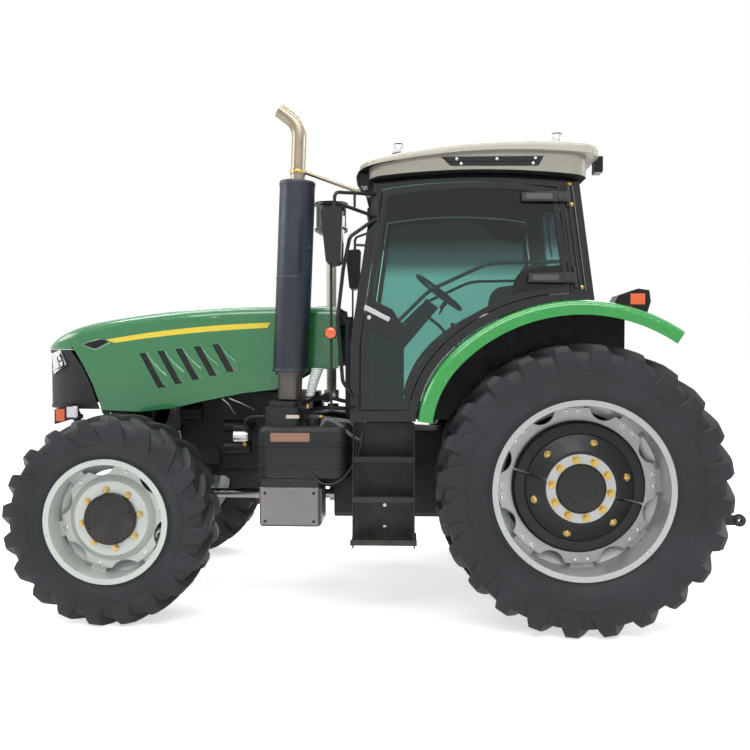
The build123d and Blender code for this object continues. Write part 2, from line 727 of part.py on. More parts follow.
intake_station = 1640.0
intake_y = -560.0
with BuildPart() as air_intake:
    rod((intake_station, intake_y, 1300), (intake_station, intake_y, 2620), 40)
    with BuildSketch(Plane(origin=(intake_station, intake_y, 0), x_dir=(1, 0, 0), z_dir=(0, -1, 0))):
        Polygon(
            (0, 2600), (70, 2600), (132, 2640), (132, 2660), (120, 2668), (120, 2830), (134, 2838),
            (134, 2862), (60, 2893), (0, 2893), align=None,
        )
    revolve(axis=Axis((intake_station, intake_y, 0), (0, 0, 1)))
    rod((intake_station, intake_y, 1340), (intake_station, 60 - engine_half, 1340), 40)
    rod((intake_station, intake_y, 1300), (intake_station, intake_y, 1380), 60)
save(air_intake.part, "air_intake")

# ---------------------------------------------------------------- fenders
nose_centre = (
    arch_centre[0] + (arch_radius - arch_nose_radius) * cos(radians(45)),
    arch_centre[1] + (arch_radius - arch_nose_radius) * sin(radians(45)),
)


def arch_point(offset, angle):
    """Point on the arch curve moved out by an offset. Angles under 45 degrees are on the nose arc."""
    centre, radius = (nose_centre, arch_nose_radius) if angle < 45 else (arch_centre, arch_radius)
    reach = radius + offset
    return (centre[0] + reach * cos(radians(angle)), centre[1] + reach * sin(radians(angle)))


def arch_curve(offset, start, end):
    """The arch curve moved out by an offset, between two angles. Goes inside a BuildLine."""
    CenterArc(nose_centre, arch_nose_radius + offset, start, 45 - start)
    CenterArc(arch_centre, arch_radius + offset, 45, end - 45)


def arch_body(outer_y, inner_y, inner, outer, start, end, corner):
    """Solid under the arch curve between two widths and two offsets, its outer shoulder rounded."""
    with BuildPart() as body:
        with BuildSketch(side_plane(outer_y)):
            with BuildLine():
                arch_curve(outer, start, end)
                arch_curve(inner, start, end)
                Line(arch_point(inner, start), arch_point(outer, start))
                Line(arch_point(inner, end), arch_point(outer, end))
            make_face()
        extrude(amount=outer_y - inner_y)
        shoulder = [
            edge for edge in body.edges().filter_by(GeomType.CIRCLE)
            if edge.center().Y > outer_y - 1 and edge.radius in
            (arch_radius + outer, arch_nose_radius + outer)
        ]
        fillet(shoulder, corner)
    return body.part


with BuildPart() as fender:
    add(arch_body(fender_outer, fender_inner, -fender_lip, 0, arch_nose_angle, arch_tail_angle,
                  fender_round))
    add(arch_body(fender_outer - fender_thick, fender_inner - 1, -fender_lip - 1, -fender_thick,
                  arch_nose_angle - 3, arch_tail_angle + 2, fender_round - fender_thick),
        mode=Mode.SUBTRACT)
    with BuildSketch(side_plane(fender_inner + fender_thick)):
        with BuildLine():
            arch_curve(-0.5 * fender_thick, arch_nose_angle, 110)
            Polyline(
                arch_point(-0.5 * fender_thick, 110), (-357, floor_z - floor_thick),
                (arch_point(-0.5 * fender_thick, arch_nose_angle)[0], floor_z - floor_thick),
                arch_point(-0.5 * fender_thick, arch_nose_angle),
            )
        make_face()
    extrude(amount=fender_thick)
    for angle in (38, 66, 88):
        with BuildSketch(Plane(
            origin=(arch_point(0, angle)[0], fender_inner + 1, arch_point(0, angle)[1]),
            x_dir=(0, 1, 0), z_dir=(sin(radians(angle)), 0, -cos(radians(angle))),
        )):
            Polygon((0, -4), (0, -150), (60, -4), align=None)
        extrude(amount=3, both=True)
save(fender.part + mirrored(fender.part), "fenders")

# ---------------------------------------------------------------- cab
tilt = radians(cab_tilt)
cab_side = Plane(
    origin=(0, cab_half, floor_z), x_dir=(1, 0, 0), z_dir=(0, -cos(tilt), -sin(tilt))
)


def on_side(x, z, out=0.0):
    """Point on the left cab side at a station and a height, moved outboard by a distance."""
    rise = z - floor_z
    return (
        x,
        cab_half - rise * sin(tilt) + out * cos(tilt),
        floor_z + rise * cos(tilt) + out * sin(tilt),
    )


def side_points(*points):
    """Side-view points (station, height) in the cab side plane's own coordinates."""
    return [(x, z - floor_z) for x, z in points]


def side_arch(offset, start, end):
    """Arch curve in the cab side plane's coordinates."""
    CenterArc((nose_centre[0], nose_centre[1] - floor_z), arch_nose_radius + offset, start,
              45 - start)
    CenterArc((arch_centre[0], arch_centre[1] - floor_z), arch_radius + offset, 45, end - 45)


def arch_angle_at_x(offset, x):
    """Angle on the arch's main arc, moved out by an offset, where it passes station x."""
    return degrees(atan2(sqrt((arch_radius + offset) ** 2 - (x - arch_centre[0]) ** 2),
                         x - arch_centre[0]))


def nose_angle_at_z(offset, z):
    """Angle on the arch's nose arc, moved out by an offset, at height z."""
    drop = z - nose_centre[1]
    return degrees(atan2(drop, sqrt((arch_nose_radius + offset) ** 2 - drop**2)))


post_slope = (post_front - header_front) / (header_z - post_bend_z)


def post_x(z, back=0.0):
    """Station of the front post's leading edge at height z, moved back by a distance."""
    return post_front - back - max(0.0, z - post_bend_z) * post_slope


def rear_post_x(z, ahead=0.0):
    """Station of the rear post's trailing edge at height z, moved ahead by a distance."""
    share = (z - rear_post_bottom[1]) / (header_z - rear_post_bottom[1])
    return rear_post_bottom[0] + share * (rear_post_top - rear_post_bottom[0]) + ahead


sill_z = floor_z + sill_height


def cab_outline(z_low):
    """Outer edge of the cab's side frame. Goes inside a BuildLine."""
    low = arch_seat
    start = nose_angle_at_z(low, z_low)
    end = arch_angle_at_x(low, rear_post_bottom[0])
    side_arch(low, start, end)
    tail = (rear_post_bottom[0], arch_point(low, end)[1])
    nose = arch_point(low, start)
    Polyline(*side_points(nose, (post_front, z_low), (post_front, post_bend_z),
                          (header_front, header_z)))
    ThreePointArc(*side_points((header_front, header_z),
                               (0.5 * (header_front + rear_post_top), header_z + header_rise),
                               (rear_post_top, header_z)))
    Polyline(*side_points((rear_post_top, header_z), tail))


def door_outline(inset):
    """Edge of the door opening, moved in by an inset. Goes inside a BuildLine."""
    arch = arch_seat + arch_rail + inset
    low_z = sill_z + inset
    top_z = header_z - rail_height - inset
    front = post_width + inset
    back = rear_post_width + inset
    start = nose_angle_at_z(arch, low_z)
    rear_low_x = rear_post_x(arch_centre[1] + arch_radius + arch, back)
    end = arch_angle_at_x(arch, rear_low_x)
    rear_low = (rear_low_x, arch_point(arch, end)[1])
    side_arch(arch, start, end)
    top_front = (post_x(top_z, front), top_z)
    top_rear = (rear_post_x(top_z, back), top_z)
    Polyline(*side_points(arch_point(arch, start), (post_x(low_z, front), low_z),
                          (post_x(post_bend_z, front), post_bend_z), top_front))
    ThreePointArc(*side_points(top_front, (0.5 * (top_front[0] + top_rear[0]), top_z + header_rise),
                               top_rear))
    Line(*side_points(top_rear, rear_low))


hinge_low_z, hinge_high_z = 2150.0, 2665.0
hinge_low = on_side(-12, hinge_low_z, 20)
hinge_high = on_side(28, hinge_high_z, 20)
hinge_axis = (Vector(*hinge_high) - Vector(*hinge_low)).normalized()
hinge_radius = 11.0
hinge_half = 34.0
hinge_lug = 28.0  # length of the frame's lug at each end of a door hinge

rear_glass_low, rear_glass_high = 2052.0, header_z - 62
rear_hinge = (rear_post_x(rear_glass_high) - 16, rear_glass_high + 14)
rear_hinge_y = 420.0
beam_low = 1930.0  # cross beams of the cab, under the windshield and under the rear window
with BuildPart() as cab_frame:
    with BuildSketch(cab_side):
        with BuildLine():
            cab_outline(floor_z - floor_thick)
        make_face()
        with BuildLine():
            door_outline(0)
        make_face(mode=Mode.SUBTRACT)
    extrude(amount=frame_depth)
    for point in (hinge_low, hinge_high):
        for up in (1, -1):
            middle = Vector(*point) + hinge_axis * (up * (hinge_half + 1 + hinge_lug / 2))
            with BuildSketch(Plane(origin=middle - hinge_axis * (hinge_lug / 2), z_dir=hinge_axis,
                                   x_dir=(1, 0, 0))):
                Circle(hinge_radius)
                with Locations((0, -12)):
                    Rectangle(2 * hinge_radius, 24)
            extrude(amount=hinge_lug)
    mirror(about=Plane.XZ)
    header_low = header_z - beam_size
    for x0, x1, z0, z1 in (
        (header_front - beam_size, header_front + 5, header_low, header_z - 3),
        (rear_post_top + 5, rear_post_top + 65, header_low + 10, header_z - 3),
        (post_x(beam_low) - 62, post_x(beam_low) - 12, beam_low - 30, beam_low + 25),
        (rear_post_x(2040) + 12, rear_post_x(2040) + 62, 1990, 2045),
    ):
        half = on_side(0, z1)[1] - frame_depth / 2
        block(x0, x1, -half, half, z0, z1)
    for y in (-rear_hinge_y, rear_hinge_y):
        rod((rear_hinge[0], y - 60, rear_hinge[1]), (rear_hinge[0], y - 31, rear_hinge[1]), 10)
        rod((rear_hinge[0], y + 31, rear_hinge[1]), (rear_hinge[0], y + 60, rear_hinge[1]), 10)
        for side in (-1, 1):
            block(rear_hinge[0], rear_post_top + 20, y + side * 32, y + side * 58,
                  rear_hinge[1] - 5, rear_hinge[1] + 10)
save(cab_frame.part, "cab_frame")

rear_wall = (-150.0, -130.0)
dash_wall = (post_front - 34, post_front - 14)
with BuildPart() as cab_floor:
    block(rear_wall[0], 985, -tub_half, tub_half, floor_z - floor_thick, floor_z)
    block(985, dash_wall[1], -cab_half + frame_depth + 2, cab_half - frame_depth - 2,
          floor_z - floor_thick, floor_z)
    block(*dash_wall, -cab_half + frame_depth + 50, cab_half - frame_depth - 50, floor_z,
          beam_low - 35)
    block(*rear_wall, -tub_half, tub_half, floor_z, 1985)
save(cab_floor.part, "cab_floor")


def sheet_between(bottom, top, half_bottom, half_top, thick):
    """Flat pane from a bottom edge to a top edge, wider at the bottom. Stations and heights."""
    run = Vector(top[0] - bottom[0], 0, top[1] - bottom[1])
    plane = Plane(
        origin=(bottom[0], 0, bottom[1]), x_dir=(0, 1, 0), z_dir=Vector(0, 1, 0).cross(run)
    )
    height = run.length
    with BuildSketch(plane) as pane:
        Polygon((-half_bottom, 0), (half_bottom, 0), (half_top, height), (-half_top, height),
                align=None)
        fillet(pane.vertices(), 30)
    extrude(pane.sketch, amount=thick)


def pane_half(z):
    """Half width between the two side frames at height z."""
    return on_side(0, z)[1] - frame_depth - 4


with BuildPart() as windshield:
    low, high = beam_low + 28, header_z - 58
    sheet_between((post_x(low) - 22, low), (post_x(high) - 22, high), pane_half(low),
                  pane_half(high), glass_thick)
save(windshield.part, "windshield")

with BuildPart() as rear_window:
    sheet_between((rear_post_x(rear_glass_low) + 14, rear_glass_low),
                  (rear_post_x(rear_glass_high) + 14, rear_glass_high),
                  pane_half(rear_glass_low) - 4, pane_half(rear_glass_high) - 4, glass_thick)
    for y in (-rear_hinge_y, rear_hinge_y):
        rod((rear_hinge[0], y - 30, rear_hinge[1]), (rear_hinge[0], y + 30, rear_hinge[1]), 10)
        with BuildSketch(side_plane(y + 25)):
            Polygon((rear_hinge[0] - 6, rear_hinge[1]), (rear_hinge[0] + 6, rear_hinge[1]),
                    (rear_post_x(2620) + 18, 2620), (rear_post_x(2620) + 4, 2620), align=None)
        extrude(amount=50)
save(rear_window.part, "rear_window")


def hinge_cover(point, length, height):
    """Door hinge arm: a knuckle on the hinge line and a tapered cover that runs onto the door."""
    cover = Plane(origin=point, x_dir=(1, 0, 0), z_dir=(0, -cos(tilt), -sin(tilt)))
    with BuildSketch(cover.offset(-12)) as arm:
        Polygon((0, -hinge_half), (length, -0.3 * height), (length, 0.3 * height),
                (0, hinge_half), align=None)
    extrude(arm.sketch, amount=24)
    with BuildSketch(cover.offset(-12)) as pad:
        Polygon((75, -0.3 * height), (length, -0.3 * height), (length, 0.3 * height),
                (75, 0.3 * height), align=None)
    extrude(pad.sketch, amount=36)


latch_plate = ((1296, 2035), (1130, 1955), (1060, 1835), (1150, 1765), (1312, 1850))
handle = ((1303, 1983), (1144, 1898), (1156, 1874), (1312, 1952))
handle_out = 30.0
handle_thick = 14.0
bar_in = 38.0  # grab bar across the door, inboard of the cab's side plane
with BuildPart() as door:
    with BuildSketch(cab_side):
        with BuildLine():
            door_outline(joint_gap)
        make_face()
        with BuildLine():
            door_outline(joint_gap + door_ring)
        make_face(mode=Mode.SUBTRACT)
    extrude(amount=door_thick)
    for point in (hinge_low, hinge_high):
        hinge_cover(point, 290, 90)
        start = Vector(*point) - hinge_axis * hinge_half
        with BuildSketch(Plane(origin=start, z_dir=hinge_axis)):
            Circle(hinge_radius)
        extrude(amount=2 * hinge_half)
    with BuildSketch(cab_side):
        Polygon(*side_points(*latch_plate), align=None)
    extrude(amount=8)
    with BuildSketch(cab_side.offset(-handle_out)):
        Polygon(*side_points(*handle), align=None)
    extrude(amount=handle_thick)
    for x, z in ((1280, 1955), (1176, 1904)):
        rod(on_side(x, z, -4), on_side(x, z, handle_out - 2), 8)
    bent_rod([on_side(rear_post_x(2262, rear_post_width + joint_gap + 10), 2262, -bar_in),
              on_side(520, 2255, -bar_in), on_side(900, 2080, -bar_in),
              on_side(1150, 1830, -bar_in),
              on_side(post_x(1620, post_width + joint_gap + 14), 1620, -bar_in)], 12, 320)
save(door.part, "door_left")
save(mirrored(door.part), "door_right")

with BuildPart() as door_glass:
    with BuildSketch(cab_side.offset(glass_inset)):
        with BuildLine():
            door_outline(joint_gap + door_ring)
        make_face()
    extrude(amount=glass_thick)
save(door_glass.part, "door_glass_left")
save(mirrored(door_glass.part), "door_glass_right")

# ---------------------------------------------------------------- roof
roof_low_half = 785.0
roof_edge = 30.0
roof_trim = 2.0  # cut off each end of the arched slabs by their plan


def roof_layer(half, rear, middle, front, corner):
    """Arched slab with rounded plan corners. Each end and the middle is (station, low z, high z)."""
    with BuildPart() as layer:
        with BuildSketch(side_plane(half)):
            with BuildLine():
                for level in (1, 2):
                    ThreePointArc(*((place[0], place[level]) for place in (rear, middle, front)))
                Line((rear[0], rear[1]), (rear[0], rear[2]))
                Line((front[0], front[1]), (front[0], front[2]))
            make_face()
        extrude(amount=2 * half)
        with BuildSketch(Plane.XY.offset(header_z - 50)):
            with Locations(((rear[0] + front[0]) / 2, 0)):
                RectangleRounded(front[0] - rear[0] - 2 * roof_trim, 2 * half, corner)
        extrude(amount=500, mode=Mode.INTERSECT)
    return layer.part


seat_z = header_z + 4
with BuildPart() as cab_roof:
    add(roof_layer(roof_half, (-165, 2905, 2972), (550, 2938, 2992), (1345, 2835, 2876), roof_corner))
    fillet(cab_roof.edges().group_by(Axis.Z)[-1], roof_edge)
    add(roof_layer(roof_low_half, (-90, seat_z, 2915), (600, seat_z + header_rise, 2948),
                   (header_front + 35, seat_z, 2850), roof_corner - 30))
    with BuildSketch(side_plane(roof_low_half + 1)):
        Polygon((830, 2904), (190, 2904), (224, 2842), (770, 2846), align=None)
    extrude(amount=15, mode=Mode.SUBTRACT)
    with BuildSketch(side_plane(1 - roof_low_half)):
        Polygon((830, 2904), (190, 2904), (224, 2842), (770, 2846), align=None)
    extrude(amount=-15, mode=Mode.SUBTRACT)
save(cab_roof.part, "cab_roof")

# ---------------------------------------------------------------- interior
with BuildPart() as dashboard:
    rounded_block(1060, 1350, -300, 300, floor_z + 1, 1890, 60)
    with BuildSketch(side_plane(110)):
        Polygon((1150, 1600), (1150, 1760), (900, 2060), (815, 1996), align=None)
    extrude(amount=220)
save(dashboard.part, "dashboard")

wheel_centre = Vector(808, 0, 2112)
wheel_normal = Vector(-0.613, 0, 0.79)
with BuildPart() as steering_wheel:
    plane = Plane(origin=wheel_centre, z_dir=wheel_normal, x_dir=(0, 1, 0))
    with BuildSketch(Plane(origin=wheel_centre, x_dir=plane.x_dir, z_dir=plane.y_dir)):
        with Locations((195, 0)):
            RegularPolygon(14, 6)
    revolve(axis=Axis(tuple(wheel_centre), tuple(wheel_normal)))
    with Locations(plane.location):
        Cylinder(45, 30)
        for turn in (90, 210, 330):
            with Locations(Rotation(0, 0, turn)):
                with Locations((110, 0, 0)):
                    Box(160, 22, 10)
save(steering_wheel.part, "steering_wheel")

seat_x = 180.0
with BuildPart() as seat_base:
    block(seat_x + 40, seat_x + 440, -200, 200, floor_z, 1480)
    with BuildSketch(side_plane(225)):
        Polygon((seat_x + 90, 1479), (seat_x + 400, 1479), (seat_x + 470, 1560),
                (seat_x + 20, 1560), align=None)
    extrude(amount=450)
save(seat_base.part, "seat_base")

with BuildPart() as seat:
    block(seat_x, seat_x + 500, -250, 250, 1562, 1690)
    fillet(seat.edges().filter_by(Axis.Z), 60)
    with BuildSketch(side_plane(240)):
        Polygon((seat_x - 10, 1600), (seat_x + 110, 1600), (seat_x + 20, 2320),
                (seat_x - 90, 2320), align=None)
    extrude(amount=480)
    fillet(seat.faces().sort_by(Axis.Z)[-1].edges(), 35)
save(seat.part, "seat")

# ---------------------------------------------------------------- hood
crown_mid = (nose_reach - 1120, hood_top_z - 18)
crown_front = (nose_reach - 440, 1887)
brow_mid = (nose_reach - 190, 1812)
brow_front = (nose_reach - 30, hood_nose_z)
lip = (nose_reach - 8, 1700)
chin_x = nose_reach - 60
hood_low_edge = (
    (chin_x, 1300), (nose_reach - 760, 1275), (nose_reach - 980, 1300), (nose_reach - 1200, 1350),
    (nose_reach - 1470, 1405), (1930, 1430), (1700, 1562), (hood_rear, 1575),
)
grille_line = (
    (nose_reach - 268, 1725), (nose_reach - 348, 1600), (nose_reach - 417, 1462),
    (nose_reach - 475, 1311),
)
hood_band = 75.0  # height of the pressed band along the hood's lower edge
band_proud = 6.0


def hood_body(inset, low):
    """Solid inside the hood's outline moved in by an inset, down to a height, shoulders rounded."""
    t = inset
    with BuildPart() as body:
        with BuildSketch(side_plane(600)):
            with BuildLine():
                ThreePointArc((hood_rear - 2 * t, hood_top_z - t),
                              (crown_mid[0], crown_mid[1] - t), (crown_front[0], crown_front[1] - t))
                ThreePointArc((crown_front[0], crown_front[1] - t), (brow_mid[0], brow_mid[1] - t),
                              (brow_front[0] - t, brow_front[1] - t))
                Polyline((brow_front[0] - t, brow_front[1] - t), (lip[0] - t, lip[1] - t),
                         (chin_x - t, low), (hood_rear - 2 * t, low),
                         (hood_rear - 2 * t, hood_top_z - t))
            make_face()
        extrude(amount=1200)
        with BuildSketch(Plane.XY.offset(low - 100)):
            with BuildLine():
                for side in (1, -1):
                    waist = (nose_reach - 1320, side * (hood_half_mid + 9 - t))
                    cheek = (nose_reach - 370, side * (hood_half_front - t))
                    temple = (nose_reach - 50 - t, side * 235)
                    Line((hood_rear - 3 * t, side * (hood_half_rear - t)), waist)
                    ThreePointArc(waist, (nose_reach - 720, side * (hood_half_mid - 9 - t)), cheek)
                    ThreePointArc(cheek, (nose_reach - 170, side * (340 - t)), temple)
                ThreePointArc((nose_reach - 50 - t, 235), (nose_reach - t, 0),
                              (nose_reach - 50 - t, -235))
                Line((hood_rear - 3 * t, hood_half_rear - t), (hood_rear - 3 * t, t - hood_half_rear))
            make_face()
        extrude(amount=1200, mode=Mode.INTERSECT)
        shoulders = [
            edge for edge in body.edges()
            if edge.center().Z > 1700 and abs(edge.center().Y) > 200
            and hood_rear + 1 < edge.center().X < nose_reach - 120
        ]
        fillet(shoulders, hood_shoulder - inset)
    return body.part


def side_prism(points, half=600.0):
    """Prism through the whole width, from a side-view outline."""
    with BuildPart() as prism:
        with BuildSketch(side_plane(half)):
            Polygon(*points, align=None)
        extrude(amount=2 * half)
    return prism.part


def shifted(points, dx, dz):
    """Side-view points moved by a distance along and a distance up."""
    return [(x + dx, z + dz) for x, z in points]


hood_outer = hood_body(0, hood_bottom_z)
hood_inner = hood_body(hood_thick, hood_bottom_z - 100)
nose_space = side_prism(
    grille_line[::-1] + ((grille_line[0][0], lip[1] + 2), (nose_reach + 80, lip[1] + 2),
                         (nose_reach + 80, 1100), (nose_reach - 500, 1100)))
lamp_corners = (
    (nose_reach - 75, 1672), (nose_reach - 164, 1698), (nose_reach - 217, 1596),
    (nose_reach - 96, 1524),
)
lamp_top, lamp_low = 1694.0, 1520.0
vents = []
for number in range(vent_count):
    top_x, top_mid = nose_reach - 780 - 126.5 * number, 1675 + 15 * number
    low_x, low_mid = nose_reach - 910 - 119.5 * number, 1441 + 27 * number
    vents.append(((top_x - 23, top_mid + 2), (top_x + 23, top_mid - 2), (low_x + 23, low_mid - 3),
                  (low_x - 23, low_mid + 3)))
intake_corners = (
    (nose_reach - 347, 1738), (nose_reach - 480, 1773), (nose_reach - 543, 1762),
    (nose_reach - 431, 1704),
)

with BuildPart() as hood:
    add(hood_outer)
    band_points = hood_low_edge[1:] + tuple(shifted(hood_low_edge[1:], 0, hood_band)[::-1])
    add(hood_body(-band_proud, hood_bottom_z - 50) & side_prism(band_points))
    add(hood_inner, mode=Mode.SUBTRACT)
    add(side_prism(hood_low_edge + ((hood_rear - 100, 1575), (hood_rear - 100, 1000),
                                    (nose_reach + 180, 1000), (nose_reach + 180, 1300)), 700),
        mode=Mode.SUBTRACT)
    add(nose_space, mode=Mode.SUBTRACT)
    for vent in vents:
        add(side_prism(vent), mode=Mode.SUBTRACT)
    intake_skin = hood_body(-1, hood_bottom_z) - hood_body(5, hood_bottom_z - 100)
    add(intake_skin & side_prism(intake_corners), mode=Mode.SUBTRACT)
    for side in (1, -1):
        y0, y1 = side * (hood_hinge_y - 20), side * (hood_hinge_y + 20)
        rod((hood_hinge[0], y0, hood_hinge[1]), (hood_hinge[0], y1, hood_hinge[1]), 22)
        block(hood_hinge[0] - 8, hood_hinge[0] + 22, y0, y1, hood_hinge[1], hood_top_z - 3)
        rod((hood_hinge[0], side * (hood_hinge_y - 30), hood_hinge[1]),
            (hood_hinge[0], side * (hood_hinge_y + 30), hood_hinge[1]), hinge_pin + pin_gap,
            Mode.SUBTRACT)
save(hood.part, "hood")

grille_region = side_prism((
    (nose_reach - 460, 1290), (nose_reach - 402, 1456), (nose_reach - 333, 1592),
    (nose_reach - 254, lip[1] - 1), (nose_reach + 80, lip[1] - 1), (nose_reach + 80, 1290)))
grille_field = side_prism((
    (nose_reach - 432, 1316), (nose_reach - 378, 1446), (nose_reach - 311, 1578),
    (nose_reach - 240, lip[1] - 24), (nose_reach + 80, lip[1] - 24), (nose_reach + 80, 1316)))
lamp_gap = 3.0
lamp_space = side_prism((
    (lamp_corners[0][0] + lamp_gap, lamp_corners[0][1] + lamp_gap),
    (lamp_corners[1][0] - lamp_gap, lamp_corners[1][1] + lamp_gap),
    (lamp_corners[2][0] - lamp_gap, lamp_corners[2][1] - lamp_gap),
    (lamp_corners[3][0] + lamp_gap, lamp_corners[3][1] - lamp_gap)))
skin = (4.0, 12.0, 20.0)  # insets of the grille's frame, of its mesh and of its inner side
vent_rows = []
for vent in vents:
    vent_rows.append(side_prism((
        (vent[0][0] - 20, vent[0][1] + 15), (vent[1][0] + 20, vent[1][1] + 15),
        (vent[2][0] + 20, vent[2][1] - 15), (vent[3][0] - 20, vent[3][1] - 15))))
with BuildPart() as grilles:
    add(hood_body(skin[0], hood_bottom_z + 90) & grille_region)
    add(hood_body(skin[2], hood_bottom_z), mode=Mode.SUBTRACT)
    frame_layer = hood_body(skin[0] - 2, hood_bottom_z) - hood_body(skin[1], hood_bottom_z - 50)
    add(frame_layer & grille_field, mode=Mode.SUBTRACT)
    for side in (1, -1):
        with BuildPart(mode=Mode.PRIVATE) as lamp_cut:
            block(nose_reach - 260, nose_reach, side * 180, side * 500, 1500, 1710)
        add(lamp_cut.part & lamp_space, mode=Mode.SUBTRACT)
vent_sheet = hood_body(hood_thick + seat_gap, hood_bottom_z) - hood_body(
    hood_thick + 5, hood_bottom_z - 100)
grille_pieces = [grilles.part] + [vent_sheet & row for row in vent_rows]
save(Compound(children=[solid for piece in grille_pieces for solid in piece.solids()]), "grilles")

hinge_arm = 20.0  # half spacing of the two cheeks that hold a hood hinge
with BuildPart() as headlamp:
    with BuildPart(mode=Mode.PRIVATE) as lamp_field:
        block(nose_reach - 260, nose_reach, 190, 480, 1500, 1705)
    add(hood_body(1, hood_bottom_z) & side_prism(lamp_corners) & lamp_field.part)
    add(hood_body(60, hood_bottom_z - 100), mode=Mode.SUBTRACT)
save(headlamp.part + mirrored(headlamp.part), "headlamps")

with BuildPart() as cowl:
    block(hood_rear - 75, hood_rear - 45, -440, 440, floor_z - floor_thick, 1900)
    for side in (1, -1):
        for y0, y1 in ((hood_hinge_y - 50, hood_hinge_y - 30), (hood_hinge_y + 30, hood_hinge_y + 50)):
            block(hood_rear - 45, hood_hinge[0] + 20, side * y0, side * y1, hood_hinge[1] - 60,
                  hood_hinge[1] + 20)
        rod((hood_hinge[0], side * (hood_hinge_y - 50), hood_hinge[1]),
            (hood_hinge[0], side * (hood_hinge_y + 50), hood_hinge[1]), hinge_pin)
save(cowl.part, "cowl")

# ---------------------------------------------------------------- lamps and mirrors
with BuildPart() as front_lamp:
    x = support_front
    with BuildSketch(side_plane(475)):
        Polygon((x + 38, 1293), (x - 81, 1328), (x - 121, 1239), (x + 39, 1191), align=None)
    extrude(amount=80)
    block(x - 75, x - 5, 265, 396, 1215, 1245)
    block(x - 60, x - 20, 265, 295, support_top_z + seat_gap, 1245)

with BuildPart() as tail_lamp:
    with BuildSketch(side_plane(1020)):
        Polygon(arch_point(3, 100.7), arch_point(3, 106), arch_point(3, 111.5), (-405, 1985),
                (-395, 2052), (-330, 2062), (-215, 2022), align=None)
    extrude(amount=150)

with BuildPart() as work_lamp:
    block(-215, -167, 510, 610, 2838, 2940)
    block(1296, 1352, 560, 680, 2748, 2826)
    block(1306, 1330, 600, 640, 2820, 2836)

with BuildPart() as beacons:
    for x, z in ((1096, 2937.5), (80, 2995)):
        rod((x, 600, z), (x, 600, z + 30), 45)
        rod((x, 600, z + 30), (x, 600, z + 92), 32)

lamp_pieces = [beacons.part]
for lamp in (front_lamp.part, tail_lamp.part, work_lamp.part):
    lamp_pieces += [lamp, mirrored(lamp)]
save(Compound(children=[solid for piece in lamp_pieces for solid in piece.solids()]), "lamps")

mirror_x, mirror_y = 1498.0, 1000.0
mirror_low_z, mirror_high_z = 2205.0, 2545.0
mirror_half = 95.0
with BuildPart() as mirror_left:
    with BuildSketch(side_plane(mirror_y + mirror_half)):
        Polygon((mirror_x - 62, mirror_low_z + 10), (mirror_x + 22, mirror_low_z),
                (mirror_x + 56, mirror_high_z - 10), (mirror_x - 76, mirror_high_z), align=None)
    extrude(amount=2 * mirror_half)
    fillet(mirror_left.edges().filter_by(Axis.Y), 26)
    for x, z, tall in ((1240, 2615, 200), (1372, 1365, 110)):
        with BuildSketch(cab_side.offset(-1)):
            with Locations((x, z - floor_z)):
                Rectangle(40, tall)
        extrude(amount=-14)
    bent_rod([on_side(1240, 2690, 10), (mirror_x - 20, mirror_y - 12, 2650),
              (mirror_x - 20, mirror_y - 12, mirror_high_z - 15)], 11, 40)
    rod(on_side(1240, 2545, 10), (mirror_x - 20, mirror_y - 12, 2590), 11)
    rod((1364, 868, 2580), (1364, 868, 2664), 8)
    rod((mirror_x, mirror_y, 1330), (mirror_x, mirror_y, mirror_low_z + 20), 8)
    rod(on_side(1370, 1340, 10), (mirror_x, mirror_y, 1340), 8)
    rod((mirror_x, mirror_y, 1800), (mirror_x, mirror_y + 40, 1800), 38)
    bent_rod([on_side(1244, 2530, 10), (1395, 850, 2400), (1435, 868, 2200), (1470, 880, 1890),
              (1440, 860, 1500), on_side(1380, 1405, 10)], 12, 60)
save(mirror_left.part + mirrored(mirror_left.part), "mirrors")

# ---------------------------------------------------------------- linkage behind
with BuildPart() as lift_arms:
    with BuildSketch(side_plane(lift_arm_y + 30)):
        with Locations(rock_shaft):
            Circle(rock_shaft_radius)
    extrude(amount=2 * lift_arm_y + 60)
    for side in (1, -1):
        with BuildSketch(side_plane(side * lift_arm_y + 20)):
            with Locations(rock_shaft):
                Circle(62)
            with Locations(lift_arm_tip):
                Circle(38)
            Polygon((rock_shaft[0], rock_shaft[1] + 62), (lift_arm_tip[0], lift_arm_tip[1] + 38),
                    (lift_arm_tip[0], lift_arm_tip[1] - 38), (rock_shaft[0], rock_shaft[1] - 62),
                    align=None)
        extrude(amount=40)
    with BuildSketch(side_plane(lift_arm_y + 100)):
        with Locations(lift_arm_tip):
            Circle(link_pin)
    extrude(amount=2 * lift_arm_y + 200)
    block(lift_arm_tip[0] - 60, lift_arm_tip[0] + 60, -lift_arm_y + 25, lift_arm_y - 25,
          lift_arm_tip[1] - 80, lift_arm_tip[1] + 80, mode=Mode.SUBTRACT)
save(lift_arms.part, "lift_arms")

